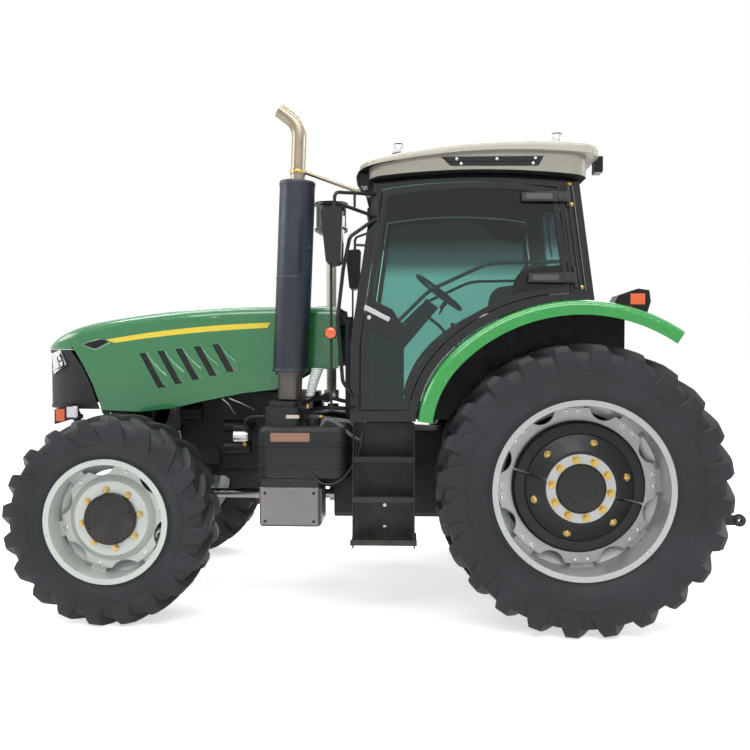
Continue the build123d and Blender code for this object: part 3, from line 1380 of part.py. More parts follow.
with BuildPart() as lower_links:
    pivot = Vector(lower_pin[0], lower_link_y, lower_pin[1])
    eye = Vector(lower_eye[0], lower_eye_y, lower_eye[1])
    along = (eye - pivot).normalized()
    length = (eye - pivot).length
    flat = Plane(origin=pivot, x_dir=along, z_dir=along.cross(Vector(0, 0, 1)))
    with BuildSketch(flat.offset(-12)):
        with Locations((0, 0), (length, 0)):
            Circle(42)
        Polygon((0, -42), (0.45 * length, -48), (length, -32), (length, 32), (0.45 * length, 48),
                (0, 42), align=None)
    extrude(amount=24)
    for at, bore in ((0, link_pin + pin_gap), (length, eye_bore)):
        with BuildSketch(Plane(origin=pivot + along * at + Vector(0, 24, 0), x_dir=(1, 0, 0),
                               z_dir=(0, -1, 0))):
            Circle(34)
        extrude(amount=48)
        with BuildSketch(Plane(origin=pivot + along * at + Vector(0, 40, 0), x_dir=(1, 0, 0),
                               z_dir=(0, -1, 0))):
            Circle(bore)
        extrude(amount=80, mode=Mode.SUBTRACT)
    with BuildSketch(side_plane(480)):
        with Locations(lift_hole):
            Circle(lift_rod_pin + pin_gap)
    extrude(amount=200, mode=Mode.SUBTRACT)
save(lower_links.part + mirrored(lower_links.part), "lower_links")

lift_rod_y = lift_arm_y + 55
with BuildPart() as lift_rods:
    rod((lift_arm_tip[0], lift_rod_y, lift_arm_tip[1] - 30),
        (lift_hole[0], lift_rod_y + 20, lift_hole[1] + 76), 22)
    rod((lift_arm_tip[0], lift_rod_y + 4, lift_arm_tip[1] - 150),
        (lift_hole[0], lift_rod_y + 16, lift_hole[1] + 190), 32)
    with BuildSketch(side_plane(lift_rod_y + 20)):
        with Locations(lift_arm_tip):
            Circle(38)
            Circle(link_pin + pin_gap, mode=Mode.SUBTRACT)
    extrude(amount=40)
    block(lift_hole[0] - 30, lift_hole[0] + 30, lift_rod_y + 22, lift_rod_y + 42, lift_hole[1] - 30,
          lift_hole[1] + 100)
    rod((lift_hole[0], lift_rod_y + 32, lift_hole[1]), (lift_hole[0], lift_rod_y - 14, lift_hole[1]),
        lift_rod_pin)
save(lift_rods.part + mirrored(lift_rods.part), "lift_rods")

top_pin_radius = 12.0
top_direction = Vector(cos(radians(top_link_angle)), 0, sin(radians(top_link_angle)))
with BuildPart() as top_link:
    foot = Vector(top_pin[0], 0, top_pin[1])
    tip = foot + top_direction * top_link_length
    rod(foot, tip, 17)
    rod(foot + top_direction * (0.24 * top_link_length),
        foot + top_direction * (0.76 * top_link_length), 26)
    for at, bore in ((foot, top_pin_radius + pin_gap), (tip, top_eye_bore)):
        with BuildSketch(side_plane(25)):
            with Locations((at.X, at.Z)):
                Circle(32)
        extrude(amount=50)
        with BuildSketch(side_plane(30)):
            with Locations((at.X, at.Z)):
                Circle(bore)
        extrude(amount=60, mode=Mode.SUBTRACT)
save(top_link.part, "top_link")

with BuildPart() as hitch_bracket:
    for side in (1, -1):
        block(top_pin[0] - 40, rear_housing_back, side * 32, side * 52, top_pin[1] - 60,
              top_pin[1] + 60)
        block(lower_pin[0] - 50, lower_pin[0] + 50, side * (gearbox_half + seat_gap),
              side * (lower_link_y - 30), lower_pin[1] - 50, lower_pin[1] + 50)
        rod((lower_pin[0], side * (lower_link_y - 40), lower_pin[1]),
            (lower_pin[0], side * (lower_link_y + 34), lower_pin[1]), link_pin)
    rod((top_pin[0], -52, top_pin[1]), (top_pin[0], 52, top_pin[1]), top_pin_radius)
save(hitch_bracket.part, "hitch_brackets")

drawbar_half = 20.0
with BuildPart() as drawbar:
    with BuildSketch(Plane.XY.offset(drawbar_z - drawbar_half)):
        with Locations(((drawbar_end + 200) / 2, 0)):
            RectangleRounded(200 - drawbar_end, 90, 40)
        with Locations((drawbar_end + 45, 0)):
            Circle(drawbar_bore, mode=Mode.SUBTRACT)
    extrude(amount=2 * drawbar_half)
    block(-330, -250, -110, 110, drawbar_z + drawbar_half, rear_housing_bottom_z - 1)
    block(150, 190, -60, 60, drawbar_z + drawbar_half, rear_housing_bottom_z - 1)
save(drawbar.part, "drawbar")
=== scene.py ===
import math

import bmesh
import bpy
from mathutils import Matrix, Vector
from mathutils.bvhtree import BVHTree


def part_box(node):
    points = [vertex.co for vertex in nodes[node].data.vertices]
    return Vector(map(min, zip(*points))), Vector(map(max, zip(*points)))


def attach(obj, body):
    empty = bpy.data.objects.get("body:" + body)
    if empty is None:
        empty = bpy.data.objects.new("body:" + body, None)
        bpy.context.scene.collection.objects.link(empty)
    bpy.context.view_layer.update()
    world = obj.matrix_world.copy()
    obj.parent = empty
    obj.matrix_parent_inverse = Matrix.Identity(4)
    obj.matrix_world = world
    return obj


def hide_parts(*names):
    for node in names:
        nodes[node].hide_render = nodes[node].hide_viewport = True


# A four-wheel-drive farm tractor with a closed cab: finishes, tyres, fasteners, glass, trim and
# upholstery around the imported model. Metres; +X forward, +Y the driver's left, +Z up.
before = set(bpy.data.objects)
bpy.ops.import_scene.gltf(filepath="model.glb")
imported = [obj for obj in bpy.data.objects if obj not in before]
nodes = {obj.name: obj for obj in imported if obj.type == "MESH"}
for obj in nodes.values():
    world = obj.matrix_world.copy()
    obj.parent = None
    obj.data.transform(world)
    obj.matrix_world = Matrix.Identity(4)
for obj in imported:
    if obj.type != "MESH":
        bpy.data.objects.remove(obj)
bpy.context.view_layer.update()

# ---- The studio
# A pale floor under a white sky. Long soft lamps hang overhead and at the sides, as in a hall,
# and draw bright streaks along the paint and the glass.


def placed(name, mesh):
    """A finished mesh as an object at the origin."""
    piece = bpy.data.objects.new(name, mesh)
    bpy.context.scene.collection.objects.link(piece)
    return piece


def mounted(name, mesh, body):
    """A finished mesh that rides on a body."""
    piece = placed(name, mesh)
    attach(piece, body)
    return piece


def feed(made, inputs):
    """Sets a node's inputs to values, or links them to other nodes' outputs."""
    for key, value in inputs.items():
        if isinstance(value, bpy.types.NodeSocket):
            made.id_data.links.new(value, made.inputs[key])
        else:
            made.inputs[key].default_value = value


def node(tree, kind, inputs=None, **settings):
    """A node with its settings and its inputs, which are values or other nodes' outputs. A kind
    without a family name, such as Math, is a shader node."""
    family = "" if kind.startswith(("GeometryNode", "FunctionNode", "NodeGroup")) else "ShaderNode"
    made = tree.nodes.new(family + kind)
    for key, value in settings.items():
        setattr(made, key, value)
    feed(made, inputs or {})
    return made


def calc(tree, operation, one, two=0.0):
    """One arithmetic step on node outputs or numbers."""
    return node(tree, "Math", {0: one, 1: two}, operation=operation).outputs[0]


def blend(tree, share, one, two):
    """Colour between two colours, the second where the share is 1."""
    return node(tree, "Mix", {0: share, 6: one, 7: two}, data_type="RGBA").outputs[2]


def seen_directly(tree):
    """1 for rays from the camera, from gloss and through glass, 0 for the rest."""
    rays = node(tree, "LightPath").outputs
    glossy = calc(tree, "MAXIMUM", rays["Is Camera Ray"], rays["Is Glossy Ray"])
    return calc(tree, "MAXIMUM", glossy, rays["Is Transmission Ray"])


level_on_object, level_seen = 0.5, 1.0
sky = bpy.data.worlds.new("white_sky")
bpy.context.scene.world = sky
sky.use_nodes = True
sky_level = node(sky.node_tree, "MapRange", {"Value": seen_directly(sky.node_tree),
                                             "To Min": level_on_object, "To Max": level_seen})
feed(sky.node_tree.nodes["Background"], {"Color": (1.0, 1.0, 1.0, 1.0),
                                         "Strength": sky_level.outputs["Result"]})

reach, floor_tone, floor_glow = 60.0, 0.82, 0.62
ground = bpy.data.meshes.new("studio_floor")
ground.from_pydata([(-reach, -reach, 0), (reach, -reach, 0), (reach, reach, 0), (-reach, reach, 0)],
                   [], [(0, 1, 2, 3)])
floor = placed("studio_floor", ground)
pale = bpy.data.materials.new("studio_pale_floor")
pale.use_nodes = True
feed(pale.node_tree.nodes["Principled BSDF"], {
    "Base Color": (floor_tone, floor_tone, floor_tone, 1.0), "Roughness": 0.9,
    "Emission Color": (1.0, 1.0, 1.0, 1.0),
    "Emission Strength": calc(pale.node_tree, "MULTIPLY", seen_directly(pale.node_tree),
                              floor_glow)})
ground.materials.append(pale)

# place, aim, length along X or Y, width, watts
for place, aim, length, width, watts in (
    ((0.5, 1.2, 6.2), (0.2, 0.0, 1.0), 9.0, 0.5, 140.0),
    ((0.5, -1.4, 6.2), (0.0, 0.0, 1.0), 9.0, 0.5, 140.0),
    ((0.0, 7.0, 7.4), (0.0, 0.0, 1.2), 9.0, 2.6, 400.0),
    ((0.0, -7.0, 7.4), (0.0, 0.0, 1.2), 9.0, 2.6, 360.0),
    ((8.0, 1.0, 4.6), (1.0, 0.0, 1.2), 5.0, 2.6, 160.0),
    ((-8.0, -1.0, 4.6), (-1.0, 0.0, 1.2), 5.0, 2.6, 160.0),
):
    lamp_data = bpy.data.lights.new("soft_lamp", "AREA")
    lamp_data.shape = "RECTANGLE"
    lamp_data.size, lamp_data.size_y, lamp_data.energy = length, width, watts
    lamp = bpy.data.objects.new("soft_lamp", lamp_data)
    lamp.location = place
    lamp.rotation_euler = (Vector(aim) - Vector(place)).to_track_quat("-Z", "Y").to_euler()
    bpy.context.scene.collection.objects.link(lamp)

eye = bpy.data.cameras.new("camera")
eye.sensor_width, eye.lens = 36.0, 38.54
eye.clip_end = 200.0
camera = bpy.data.objects.new("camera", eye)
camera.location = (-0.148, 5.85, 1.697)
look_yaw, look_down = math.radians(2.1395695), math.radians(1.7832278)
look = Vector((math.sin(look_yaw) * math.cos(look_down), -math.cos(look_yaw) * math.cos(look_down),
               -math.sin(look_down)))
camera.rotation_euler = look.to_track_quat("-Z", "Y").to_euler()
bpy.context.scene.collection.objects.link(camera)
bpy.context.scene.camera = camera
bpy.context.scene.view_settings.view_transform = "Standard"

# ---- Castings and driveline
# Cast-iron housings, axle beam, knuckles and shafts, sprayed satin black over a sandy skin; dust
# has settled on them near the ground and some patches have been rubbed a little.


def rgb(red, green, blue):
    """Linear colour of a paint chip given in 0 to 255 steps."""
    step = [value / 255 for value in (red, green, blue)]
    return tuple(s / 12.92 if s <= 0.04045 else ((s + 0.055) / 1.055) ** 2.4 for s in step) + (1.0,)


def tinted(colour, factor):
    """The same colour, lighter or darker."""
    return tuple(min(1.0, value * factor) for value in colour[:3]) + (1.0,)


def noise(tree, coords, scale, detail=4.0):
    """Soft cloud pattern over a piece, 0 to 1."""
    cloud = node(tree, "TexNoise", {"Vector": coords, "Scale": scale, "Detail": detail})
    return cloud.outputs["Fac"]


def finish(name, colour, roughness, metal=0.0, coat=0.0, drift=0.12, grain=0.0002,
           grain_scale=450.0, edge=0.003, dust=0.0, rub=0.0, shine=0.5):
    """Paint, plastic or metal. Its colour drifts, its gloss is uneven, a fine grain lies on it,
    edges are eased, dust lies low down and rubbed patches show paler."""
    mat = bpy.data.materials.new(name)
    mat.use_nodes = True
    tree = mat.node_tree
    coords = node(tree, "TexCoord").outputs["Object"]
    shade = blend(tree, noise(tree, coords, 2.6), tinted(colour, 1 - drift),
                  tinted(colour, 1 + drift))
    gloss = node(tree, "MapRange", {"Value": noise(tree, coords, 14.0, 6.0), "From Min": 0.3,
                                    "From Max": 0.7, "To Min": roughness * 0.8,
                                    "To Max": min(1.0, roughness * 1.25)}).outputs["Result"]
    if rub:
        spots = node(tree, "MapRange", {"Value": noise(tree, coords, 38.0, 8.0), "From Min": 0.60,
                                        "From Max": 0.72, "To Max": rub})
        shade = blend(tree, spots.outputs["Result"], shade, tinted(colour, 2.6))
    if dust:
        height = node(tree, "SeparateXYZ", {0: coords}).outputs["Z"]
        low = node(tree, "MapRange", {"Value": height, "From Min": 0.0, "From Max": 1.1,
                                      "To Min": dust, "To Max": 0.0})
        laid = calc(tree, "MULTIPLY", low.outputs["Result"], noise(tree, coords, 9.0, 7.0))
        shade = blend(tree, laid, shade, rgb(150, 143, 130))
    eased = node(tree, "Bevel", {"Radius": edge}, samples=4).outputs[0]
    skin = node(tree, "Bump", {"Height": noise(tree, coords, grain_scale, 2.0), "Strength": 0.6,
                               "Distance": grain, "Normal": eased})
    feed(tree.nodes["Principled BSDF"], {
        "Base Color": shade, "Roughness": gloss, "Normal": skin.outputs[0], "Metallic": metal,
        "Specular IOR Level": shine, "Coat Weight": coat, "Coat Roughness": 0.05})
    return mat


def dress(material, *names):
    """Gives CAD pieces their finish."""
    for name in names:
        mesh = nodes[name].data
        mesh.materials.clear()
        mesh.materials.append(material)


cast_black = finish("cast_iron_satin_black", rgb(30, 31, 33), 0.42, drift=0.25, grain=0.0006,
                    grain_scale=260.0, edge=0.005, dust=0.35, rub=0.05, shine=0.25)
dress(cast_black, "front_support", "engine", "transmission", "rear_axle", "front_axle",
      "knuckle_left", "knuckle_right", "hub_front_left", "hub_front_right", "hub_rear_left",
      "hub_rear_right", "hitch_brackets", "drawbar")
machined = finish("turned_steel", rgb(150, 150, 148), 0.28, metal=1.0, drift=0.1, grain=0.0001,
                  dust=0.2)
dress(machined, "drive_shaft", "steering_rod")

# ---- Rims
# Pressed steel rims and lobed discs. The rear ones are silver grey, the front ones paler; both are
# sprayed over a fine orange-peel skin, and mud has not yet reached them.
rim_silver = finish("rim_silver_paint", rgb(176, 179, 178), 0.32, metal=0.35, coat=0.25, drift=0.06,
                    grain=0.00015, grain_scale=700.0, edge=0.004)
rim_pale = finish("rim_pale_paint", rgb(196, 202, 197), 0.34, metal=0.15, coat=0.25, drift=0.06,
                  grain=0.00015, grain_scale=700.0, edge=0.004)
dress(rim_silver, "rim_rear_left", "rim_rear_right")
dress(rim_pale, "rim_front_left", "rim_front_right")


def lathe(bm, outline, steps=64):
    """Turns a closed outline of (along the axis, radius) points round the Y axis."""
    rings = []
    for step in range(steps):
        turn = 2 * math.pi * step / steps
        rings.append([bm.verts.new((r * math.cos(turn), y, r * math.sin(turn)))
                      for y, r in outline])
    for one, two in zip(rings, rings[1:] + rings[:1]):
        for i in range(len(outline)):
            j = (i + 1) % len(outline)
            bm.faces.new((one[i], one[j], two[j], two[i]))


def lathe_solid(bm, outline, steps=24):
    """Turns an open outline whose two ends lie on the Y axis, such as a nut's dome or a cap."""
    first, last = bm.verts.new((0, outline[0][0], 0)), bm.verts.new((0, outline[-1][0], 0))
    rings = []
    for step in range(steps):
        turn = 2 * math.pi * step / steps
        rings.append([first] + [bm.verts.new((r * math.cos(turn), y, r * math.sin(turn)))
                                for y, r in outline[1:-1]] + [last])
    for one, two in zip(rings, rings[1:] + rings[:1]):
        for i in range(len(outline) - 1):
            corners = [one[i], one[i + 1], two[i + 1], two[i]]
            kept = [c for k, c in enumerate(corners) if c not in corners[:k]]
            bm.faces.new(kept)


def upright(bm):
    """Stands up what was modelled along +Y, so that it points along +Z."""
    bmesh.ops.rotate(bm, verts=bm.verts, matrix=Matrix.Rotation(math.pi / 2, 3, "X"))


def mesh_of(name, bm, material=None, smooth=35.0):
    """Turns what was modelled into a mesh whose faces look outwards; flat edges stay sharp."""
    bmesh.ops.remove_doubles(bm, verts=bm.verts, dist=1e-5)
    bmesh.ops.recalc_face_normals(bm, faces=bm.faces)
    mesh = bpy.data.meshes.new(name)
    bm.to_mesh(mesh)
    bm.free()
    mesh.polygons.foreach_set("use_smooth", [True] * len(mesh.polygons))
    mesh.set_sharp_from_angle(angle=math.radians(smooth))
    if material:
        mesh.materials.append(material)
    return mesh


def other_side(name, mesh):
    """The right-hand twin of a left-hand mesh."""
    twin = mesh.copy()
    twin.name = name
    twin.transform(Matrix.Scale(-1, 4, (0, 1, 0)))
    twin.flip_normals()
    return twin


def on_both_sides(name, left, body):
    """A left-hand mesh and its right-hand twin, each on its own side's body."""
    for side in ("left", "right"):
        mesh = left if side == "left" else other_side(f"{name}_right", left)
        mounted(f"{name}_{side}", mesh, body.format(side=side))


def grow_tree(name, labels):
    """Empty geometry tree with a mesh output and named inputs, and those inputs."""
    tree = bpy.data.node_groups.new(name, "GeometryNodeTree")
    for label, kind in labels:
        tree.interface.new_socket(label, in_out="INPUT", socket_type="NodeSocket" + kind)
    tree.interface.new_socket("Geometry", in_out="OUTPUT", socket_type="NodeSocketGeometry")
    return tree, node(tree, "NodeGroupInput").outputs


def lay_out(tree, given, points, turns, centre=None):
    """Ends a tree: a turned copy of the piece on each point, moved and given a finish."""
    piece = node(tree, "GeometryNodeObjectInfo", {"Object": given["Piece"]}).outputs["Geometry"]
    laid = node(tree, "GeometryNodeInstanceOnPoints", {"Points": points, "Instance": piece,
                                                       "Rotation": turns}).outputs[0]
    real = node(tree, "GeometryNodeRealizeInstances", {0: laid}).outputs[0]
    if centre:
        real = node(tree, "GeometryNodeTransform", {"Geometry": real,
                                                    "Translation": centre}).outputs[0]
    dressed = node(tree, "GeometryNodeSetMaterial", {"Geometry": real, "Material": given["Finish"]})
    node(tree, "NodeGroupOutput", {0: dressed.outputs[0]})
    return tree


def copies_on_ring():
    """Node tree that sets copies of a piece round the Y axis and moves the ring to its place."""
    tree, given = grow_tree("copies_on_ring", (("Piece", "Object"), ("Count", "Int"),
                                               ("First turn", "Float"), ("Centre", "Vector"),
                                               ("Finish", "Material")))
    number = node(tree, "GeometryNodeInputIndex").outputs[0]
    pitch = calc(tree, "DIVIDE", 2 * math.pi, given["Count"])
    turn = calc(tree, "ADD", calc(tree, "MULTIPLY", number, pitch), given["First turn"])
    angles = node(tree, "CombineXYZ", {"Y": turn}).outputs[0]
    turned = node(tree, "FunctionNodeEulerToRotation", {0: angles}).outputs[0]
    points = node(tree, "GeometryNodePoints", {"Count": given["Count"]}).outputs[0]
    return lay_out(tree, given, points, turned, given["Centre"])


def grown(name, tree, base=None, **inputs):
    """Runs a node tree with its named inputs and keeps the result as a plain mesh."""
    host = placed(name + "_host", base or bpy.data.meshes.new(name + "_host"))
    modifier = host.modifiers.new("grow", "NODES")
    modifier.node_group = tree
    for item in tree.interface.items_tree:
        if item.in_out == "INPUT" and item.name in inputs:
            modifier[item.identifier] = inputs[item.name]
    evaluated = host.evaluated_get(bpy.context.evaluated_depsgraph_get())
    mesh = bpy.data.meshes.new_from_object(evaluated)
    mesh.name = name
    bpy.data.objects.remove(host)
    return mesh


ring_tree = copies_on_ring()


def ring_mesh(name, piece_mesh, count, first_degrees, centre, material):
    """Copies of a piece round a wheel, as one mesh."""
    piece = placed(name + "_one", piece_mesh)
    mesh = grown(name, ring_tree, **{"Piece": piece, "Count": count, "Centre": centre,
                                     "First turn": math.radians(first_degrees),
                                     "Finish": material})
    bpy.data.objects.remove(piece)
    return mesh


# ---- Tyres
# Black rubber on a bulging carcass. Slanting bars run from the middle of the tread over the
# shoulder and flare out down the side to a thin moulded ring; finer rings lie beside the bead.
rubber = bpy.data.materials.new("tyre_rubber")
rubber.use_nodes = True
rubber_tree = rubber.node_tree
rubber_coords = node(rubber_tree, "TexCoord").outputs["Object"]
rubber_tone = blend(rubber_tree, noise(rubber_tree, rubber_coords, 4.0, 6.0), rgb(27, 28, 30),
                    rgb(52, 54, 58))
rubber_gloss = node(rubber_tree, "MapRange", {"Value": noise(rubber_tree, rubber_coords, 9.0),
                                              "To Min": 0.42, "To Max": 0.68})
rubber_skin = node(rubber_tree, "Bump", {"Height": noise(rubber_tree, rubber_coords, 300.0, 3.0),
                                         "Strength": 0.5, "Distance": 0.0006})
feed(rubber_tree.nodes["Principled BSDF"], {
    "Base Color": rubber_tone, "Roughness": rubber_gloss.outputs["Result"],
    "Normal": rubber_skin.outputs[0], "Specular IOR Level": 0.3})


def lug_mesh(name, stations, lead, radius):
    """One tread bar about the Y axis, at the top of the wheel. A station is its base point, its top
    point, its half widths at base and top, and how far it leads, from 1 at the inner end."""
    bm = bmesh.new()
    rings = []
    for y_base, r_base, y_top, r_top, half_base, half_top, slant in stations:
        y_side, r_side = (y_base + 3 * y_top) / 4, (r_base + 3 * r_top) / 4
        ring = []
        for y, r, across in ((y_base, r_base, -half_base), (y_side, r_side, -half_top - 2),
                             (y_top, r_top, 5 - half_top), (y_top, r_top, half_top - 5),
                             (y_side, r_side, half_top + 2), (y_base, r_base, half_base)):
            turn = (across + slant * lead) / r if r > 0.6 * radius else 0
            ring.append(bm.verts.new((r * math.sin(turn) / 1000, y / 1000,
                                      r * math.cos(turn) / 1000)))
        rings.append(ring)
    for one, two in zip(rings, rings[1:]):
        for i in range(6):
            bm.faces.new((one[i], one[(i + 1) % 6], two[(i + 1) % 6], two[i]))
    bm.faces.new(rings[0])
    bm.faces.new(rings[-1])
    bmesh.ops.bevel(bm, geom=[e for e in bm.edges if e.is_manifold and e.calc_face_angle(0) > 0.6],
                    offset=0.0025, segments=1, affect="EDGES")
    return mesh_of(name, bm, smooth=28.0)


def tyre_mesh(name, carcass, stations, lead, radius, pairs, centre, steps):
    """Carcass and both rows of bars in one mesh; the other row is half a pitch further round."""
    bm = bmesh.new()
    lathe(bm, [(y / 1000, r / 1000) for y, r in carcass], steps)
    bmesh.ops.translate(bm, verts=bm.verts, vec=centre)
    left = lug_mesh(name + "_bar", stations, lead, radius)
    right = other_side(name + "_other_bar", left)
    for bar, first in ((left, 0.0), (right, 180.0 / pairs)):
        row = ring_mesh(name + "_row", bar, pairs, first, centre, rubber)
        bm.from_mesh(row)
        bpy.data.meshes.remove(row)
    bmesh.ops.recalc_face_normals(bm, faces=bm.faces)
    mesh = bpy.data.meshes.new(name)
    bm.to_mesh(mesh)
    bm.free()
    mesh.polygons.foreach_set("use_smooth", [True] * len(mesh.polygons))
    mesh.set_sharp_from_angle(angle=math.radians(28))
    mesh.materials.clear()
    mesh.materials.append(rubber)
    return mesh


def both_walls(half_outline):
    """Closed outline of a carcass from the points of its left half, bead first and crown last."""
    return half_outline + [(-y, r) for y, r in reversed(half_outline)]


# base y, base radius, top y, top radius, half width of base and of top, lead (millimetres)
rear_bar = ((-14, 824, -9, 862, 34, 24, 1.0), (60, 826, 60, 868, 40, 30, 0.46),
            (130, 823, 130, 868, 44, 33, -0.1), (188, 818, 190, 867, 50, 37, -0.64),
            (214, 804, 222, 860, 56, 42, -0.94), (226, 778, 240, 832, 63, 48, -1.05),
            (231, 745, 243, 790, 70, 55, -1.1), (232, 712, 240, 742, 77, 62, -1.12),
            (231, 692, 233, 702, 82, 69, -1.12))
rear_carcass = both_walls([
    (160, 506), (176, 513), (181, 530), (187, 548), (186, 556), (189, 561), (200, 580), (214, 605),
    (226, 635), (232, 662), (233, 684), (236.5, 688), (236.5, 691), (233, 695), (231, 725),
    (226, 765), (217, 797), (203, 816), (175, 825), (100, 830), (30, 832)])
front_bar = ((-11, 606, -6, 638, 29, 20, 1.0), (50, 608, 50, 645, 33, 25, 0.46),
             (108, 605, 108, 645, 38, 29, -0.18), (148, 600, 152, 643, 44, 33, -0.68),
             (166, 588, 176, 634, 50, 38, -0.95), (176, 565, 191, 604, 55, 43, -1.05),
             (181, 532, 193, 562, 61, 49, -1.1), (183, 502, 190, 520, 66, 55, -1.12),
             (183, 486, 185, 493, 70, 60, -1.12))
front_carcass = both_walls([
    (130, 356), (144, 361), (148, 376), (153, 392), (152, 399), (155, 404), (164, 420), (174, 440),
    (181, 460), (184, 474), (187.5, 478), (187.5, 481), (184, 485), (182, 510), (178, 545),
    (170, 575), (158, 595), (130, 606), (70, 610), (20, 612)])
tyre_shapes = {}
for axle, bars, carcass, lead, radius, pairs, steps in (
    ("rear", rear_bar, rear_carcass, 78.0, 868.0, 24, 96),
    ("front", front_bar, front_carcass, 70.0, 645.0, 20, 80),
):
    rim_low, rim_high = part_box(f"rim_{axle}_left")
    tyre_low, tyre_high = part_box(f"tyre_{axle}_left")
    middle = (Vector(rim_low) + Vector(rim_high)) / 2
    place = (middle.x, (tyre_low[1] + tyre_high[1]) / 2, middle.z)
    tyre_shapes[axle] = tyre_mesh(f"{axle}_tyre", carcass, bars, lead, radius, pairs, place, steps)
for side in ("left", "right"):
    for axle, shape in tyre_shapes.items():
        if side == "right":
            shape = other_side(f"{axle}_tyre_right", shape)
        tyre = mounted(f"tyre_{axle}_{side}_rubber", shape, f"wheel_{axle}_{side}")
        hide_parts(f"tyre_{axle}_{side}")

# ---- Wheel fasteners
# Zinc-plated nuts and washers on the hubs, round-headed bolts on the disc lobes and on the ballast
# weights, and small dark screws round the front hubs.
gold_zinc = finish("yellow_zinc_plating", rgb(190, 160, 92), 0.28, metal=0.9, drift=0.35,
                   grain=0.0001, edge=0.001)
white_zinc = finish("white_zinc_plating", rgb(205, 205, 202), 0.25, metal=0.9, drift=0.1,
                    grain=0.0001, edge=0.001)


def hex_nut(name, radius, height, at_radius, y):
    """Washer, six-sided nut and stud end, on a wheel's face at a distance from the axis."""
    bm = bmesh.new()
    for low, high, size, sides in ((-0.002, 0.002, radius * 1.45, 20), (0.002, height, radius, 6),
                                   (height, height + 0.006, radius * 0.52, 10)):
        top_size = size * (0.94 if sides == 6 else 0.98)
        made = bmesh.ops.create_cone(bm, cap_ends=True, segments=sides, radius1=size,
                                     radius2=top_size, depth=high - low)
        bmesh.ops.rotate(bm, verts=made["verts"], matrix=Matrix.Rotation(-math.pi / 2, 3, "X"))
        bmesh.ops.translate(bm, verts=made["verts"], vec=(0, y + (low + high) / 2, at_radius))
    return mesh_of(name, bm)


def round_bolt(name, radius, height, at_radius, y):
    """Round-headed bolt with a slight dome and a washer, on a wheel's face."""
    bm = bmesh.new()
    lathe_solid(bm, [(-0.004, 0), (-0.004, radius * 1.25), (0.001, radius * 1.25), (0.001, radius),
                     (height * 0.6, radius * 0.92), (height, radius * 0.55),
                     (height * 1.05, 0)], 14)
    bmesh.ops.translate(bm, verts=bm.verts, vec=(0, y, at_radius))
    return mesh_of(name, bm)


# wheel, name, kind, how many, first angle seen from outside, distance from the axis, offset of the
# face from the wheel's middle, size, height, finish
fastener_rows = (
    ("rear", "hub_nuts", hex_nut, 10, 28.0, 0.176, 0.100, 0.018, 0.020, gold_zinc),
    ("rear", "weight_bolts", round_bolt, 6, 14.0, 0.280, 0.079, 0.018, 0.014, gold_zinc),
    ("rear", "lobe_bolts_a", round_bolt, 8, -0.6, 0.462, -0.012, 0.013, 0.010, white_zinc),
    ("rear", "lobe_bolts_b", round_bolt, 8, 8.6, 0.462, -0.012, 0.013, 0.010, white_zinc),
    ("front", "hub_nuts", hex_nut, 8, 9.0, 0.184, 0.056, 0.016, 0.018, gold_zinc),
    ("front", "lobe_bolts", round_bolt, 6, 13.0, 0.303, 0.022, 0.012, 0.010, white_zinc),
    ("front", "hub_screws", round_bolt, 8, 22.0, 0.132, 0.100, 0.006, 0.005, cast_black),
)
for axle, label, kind, count, first, radius, offset, size, height, zinc in fastener_rows:
    rim_low, rim_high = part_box(f"rim_{axle}_left")
    centre = (Vector(rim_low) + Vector(rim_high)) / 2
    one = kind(f"{axle}_{label}_one", size, height, radius, offset)
    # an angle seen from outside on the left runs from -X towards +Z
    mesh = ring_mesh(f"{axle}_{label}_mesh", one, count, first - 90.0, tuple(centre), zinc)
    on_both_sides(f"{axle}_{label}", mesh, f"wheel_{axle}_{{side}}")

# ---- Fuel tanks, battery box and steps
# Rotation-moulded black tanks with ribs and a filler neck, a battery box behind a brushed grey
# cover, and folded steel steps with toothed treads.
moulded = finish("moulded_black_plastic", rgb(30, 32, 34), 0.46, drift=0.18, grain=0.0005,
                 grain_scale=380.0, edge=0.006, dust=0.22, shine=0.3)
step_black = finish("step_black_paint", rgb(26, 27, 28), 0.38, drift=0.15, grain=0.0003,
                    edge=0.002, dust=0.4, rub=0.08, shine=0.3)
dress(moulded, "fuel_tanks", "battery_box")
dress(step_black, "steps")


def copies_on_points():
    """Node tree that stands a copy of a piece on every point, turned to face as the point says."""
    tree, given = grow_tree("copies_on_points", (("Geometry", "Geometry"), ("Piece", "Object"),
                                                 ("Finish", "Material")))
    facing = node(tree, "GeometryNodeInputNamedAttribute", {"Name": "facing"},
                  data_type="FLOAT_VECTOR").outputs[0]
    turned = node(tree, "FunctionNodeAlignRotationToVector", {"Vector": facing},
                  axis="Z").outputs[0]
    points = node(tree, "GeometryNodeMeshToPoints", {"Mesh": given["Geometry"]}).outputs[0]
    return lay_out(tree, given, points, turned)


points_tree = copies_on_points()


def set_out(name, piece_mesh, spots, material, body):
    """Copies of a small piece at (place, facing) spots, as one object that rides on a body."""
    base = bpy.data.meshes.new(name + "_spots")
    base.from_pydata([tuple(place) for place, _ in spots], [], [])
    facing = base.attributes.new("facing", "FLOAT_VECTOR", "POINT")
    facing.data.foreach_set("vector", [value for _, way in spots for value in way])
    piece = placed(name + "_one", piece_mesh)
    mesh = grown(name + "_mesh", points_tree, base, Piece=piece, Finish=material)
    bpy.data.objects.remove(piece)
    return mounted(name, mesh, body)


def cap_screw(name, radius, height):
    """Small domed screw head with a washer, standing along +Z."""
    bm = bmesh.new()
    lathe_solid(bm, [(-height, 0), (-height, radius * 1.5), (height * 0.25, radius * 1.45),
                     (height * 0.3, radius), (height * 0.8, radius * 0.85),
                     (height, radius * 0.4), (height, 0)], 12)
    upright(bm)
    return mesh_of(name, bm)


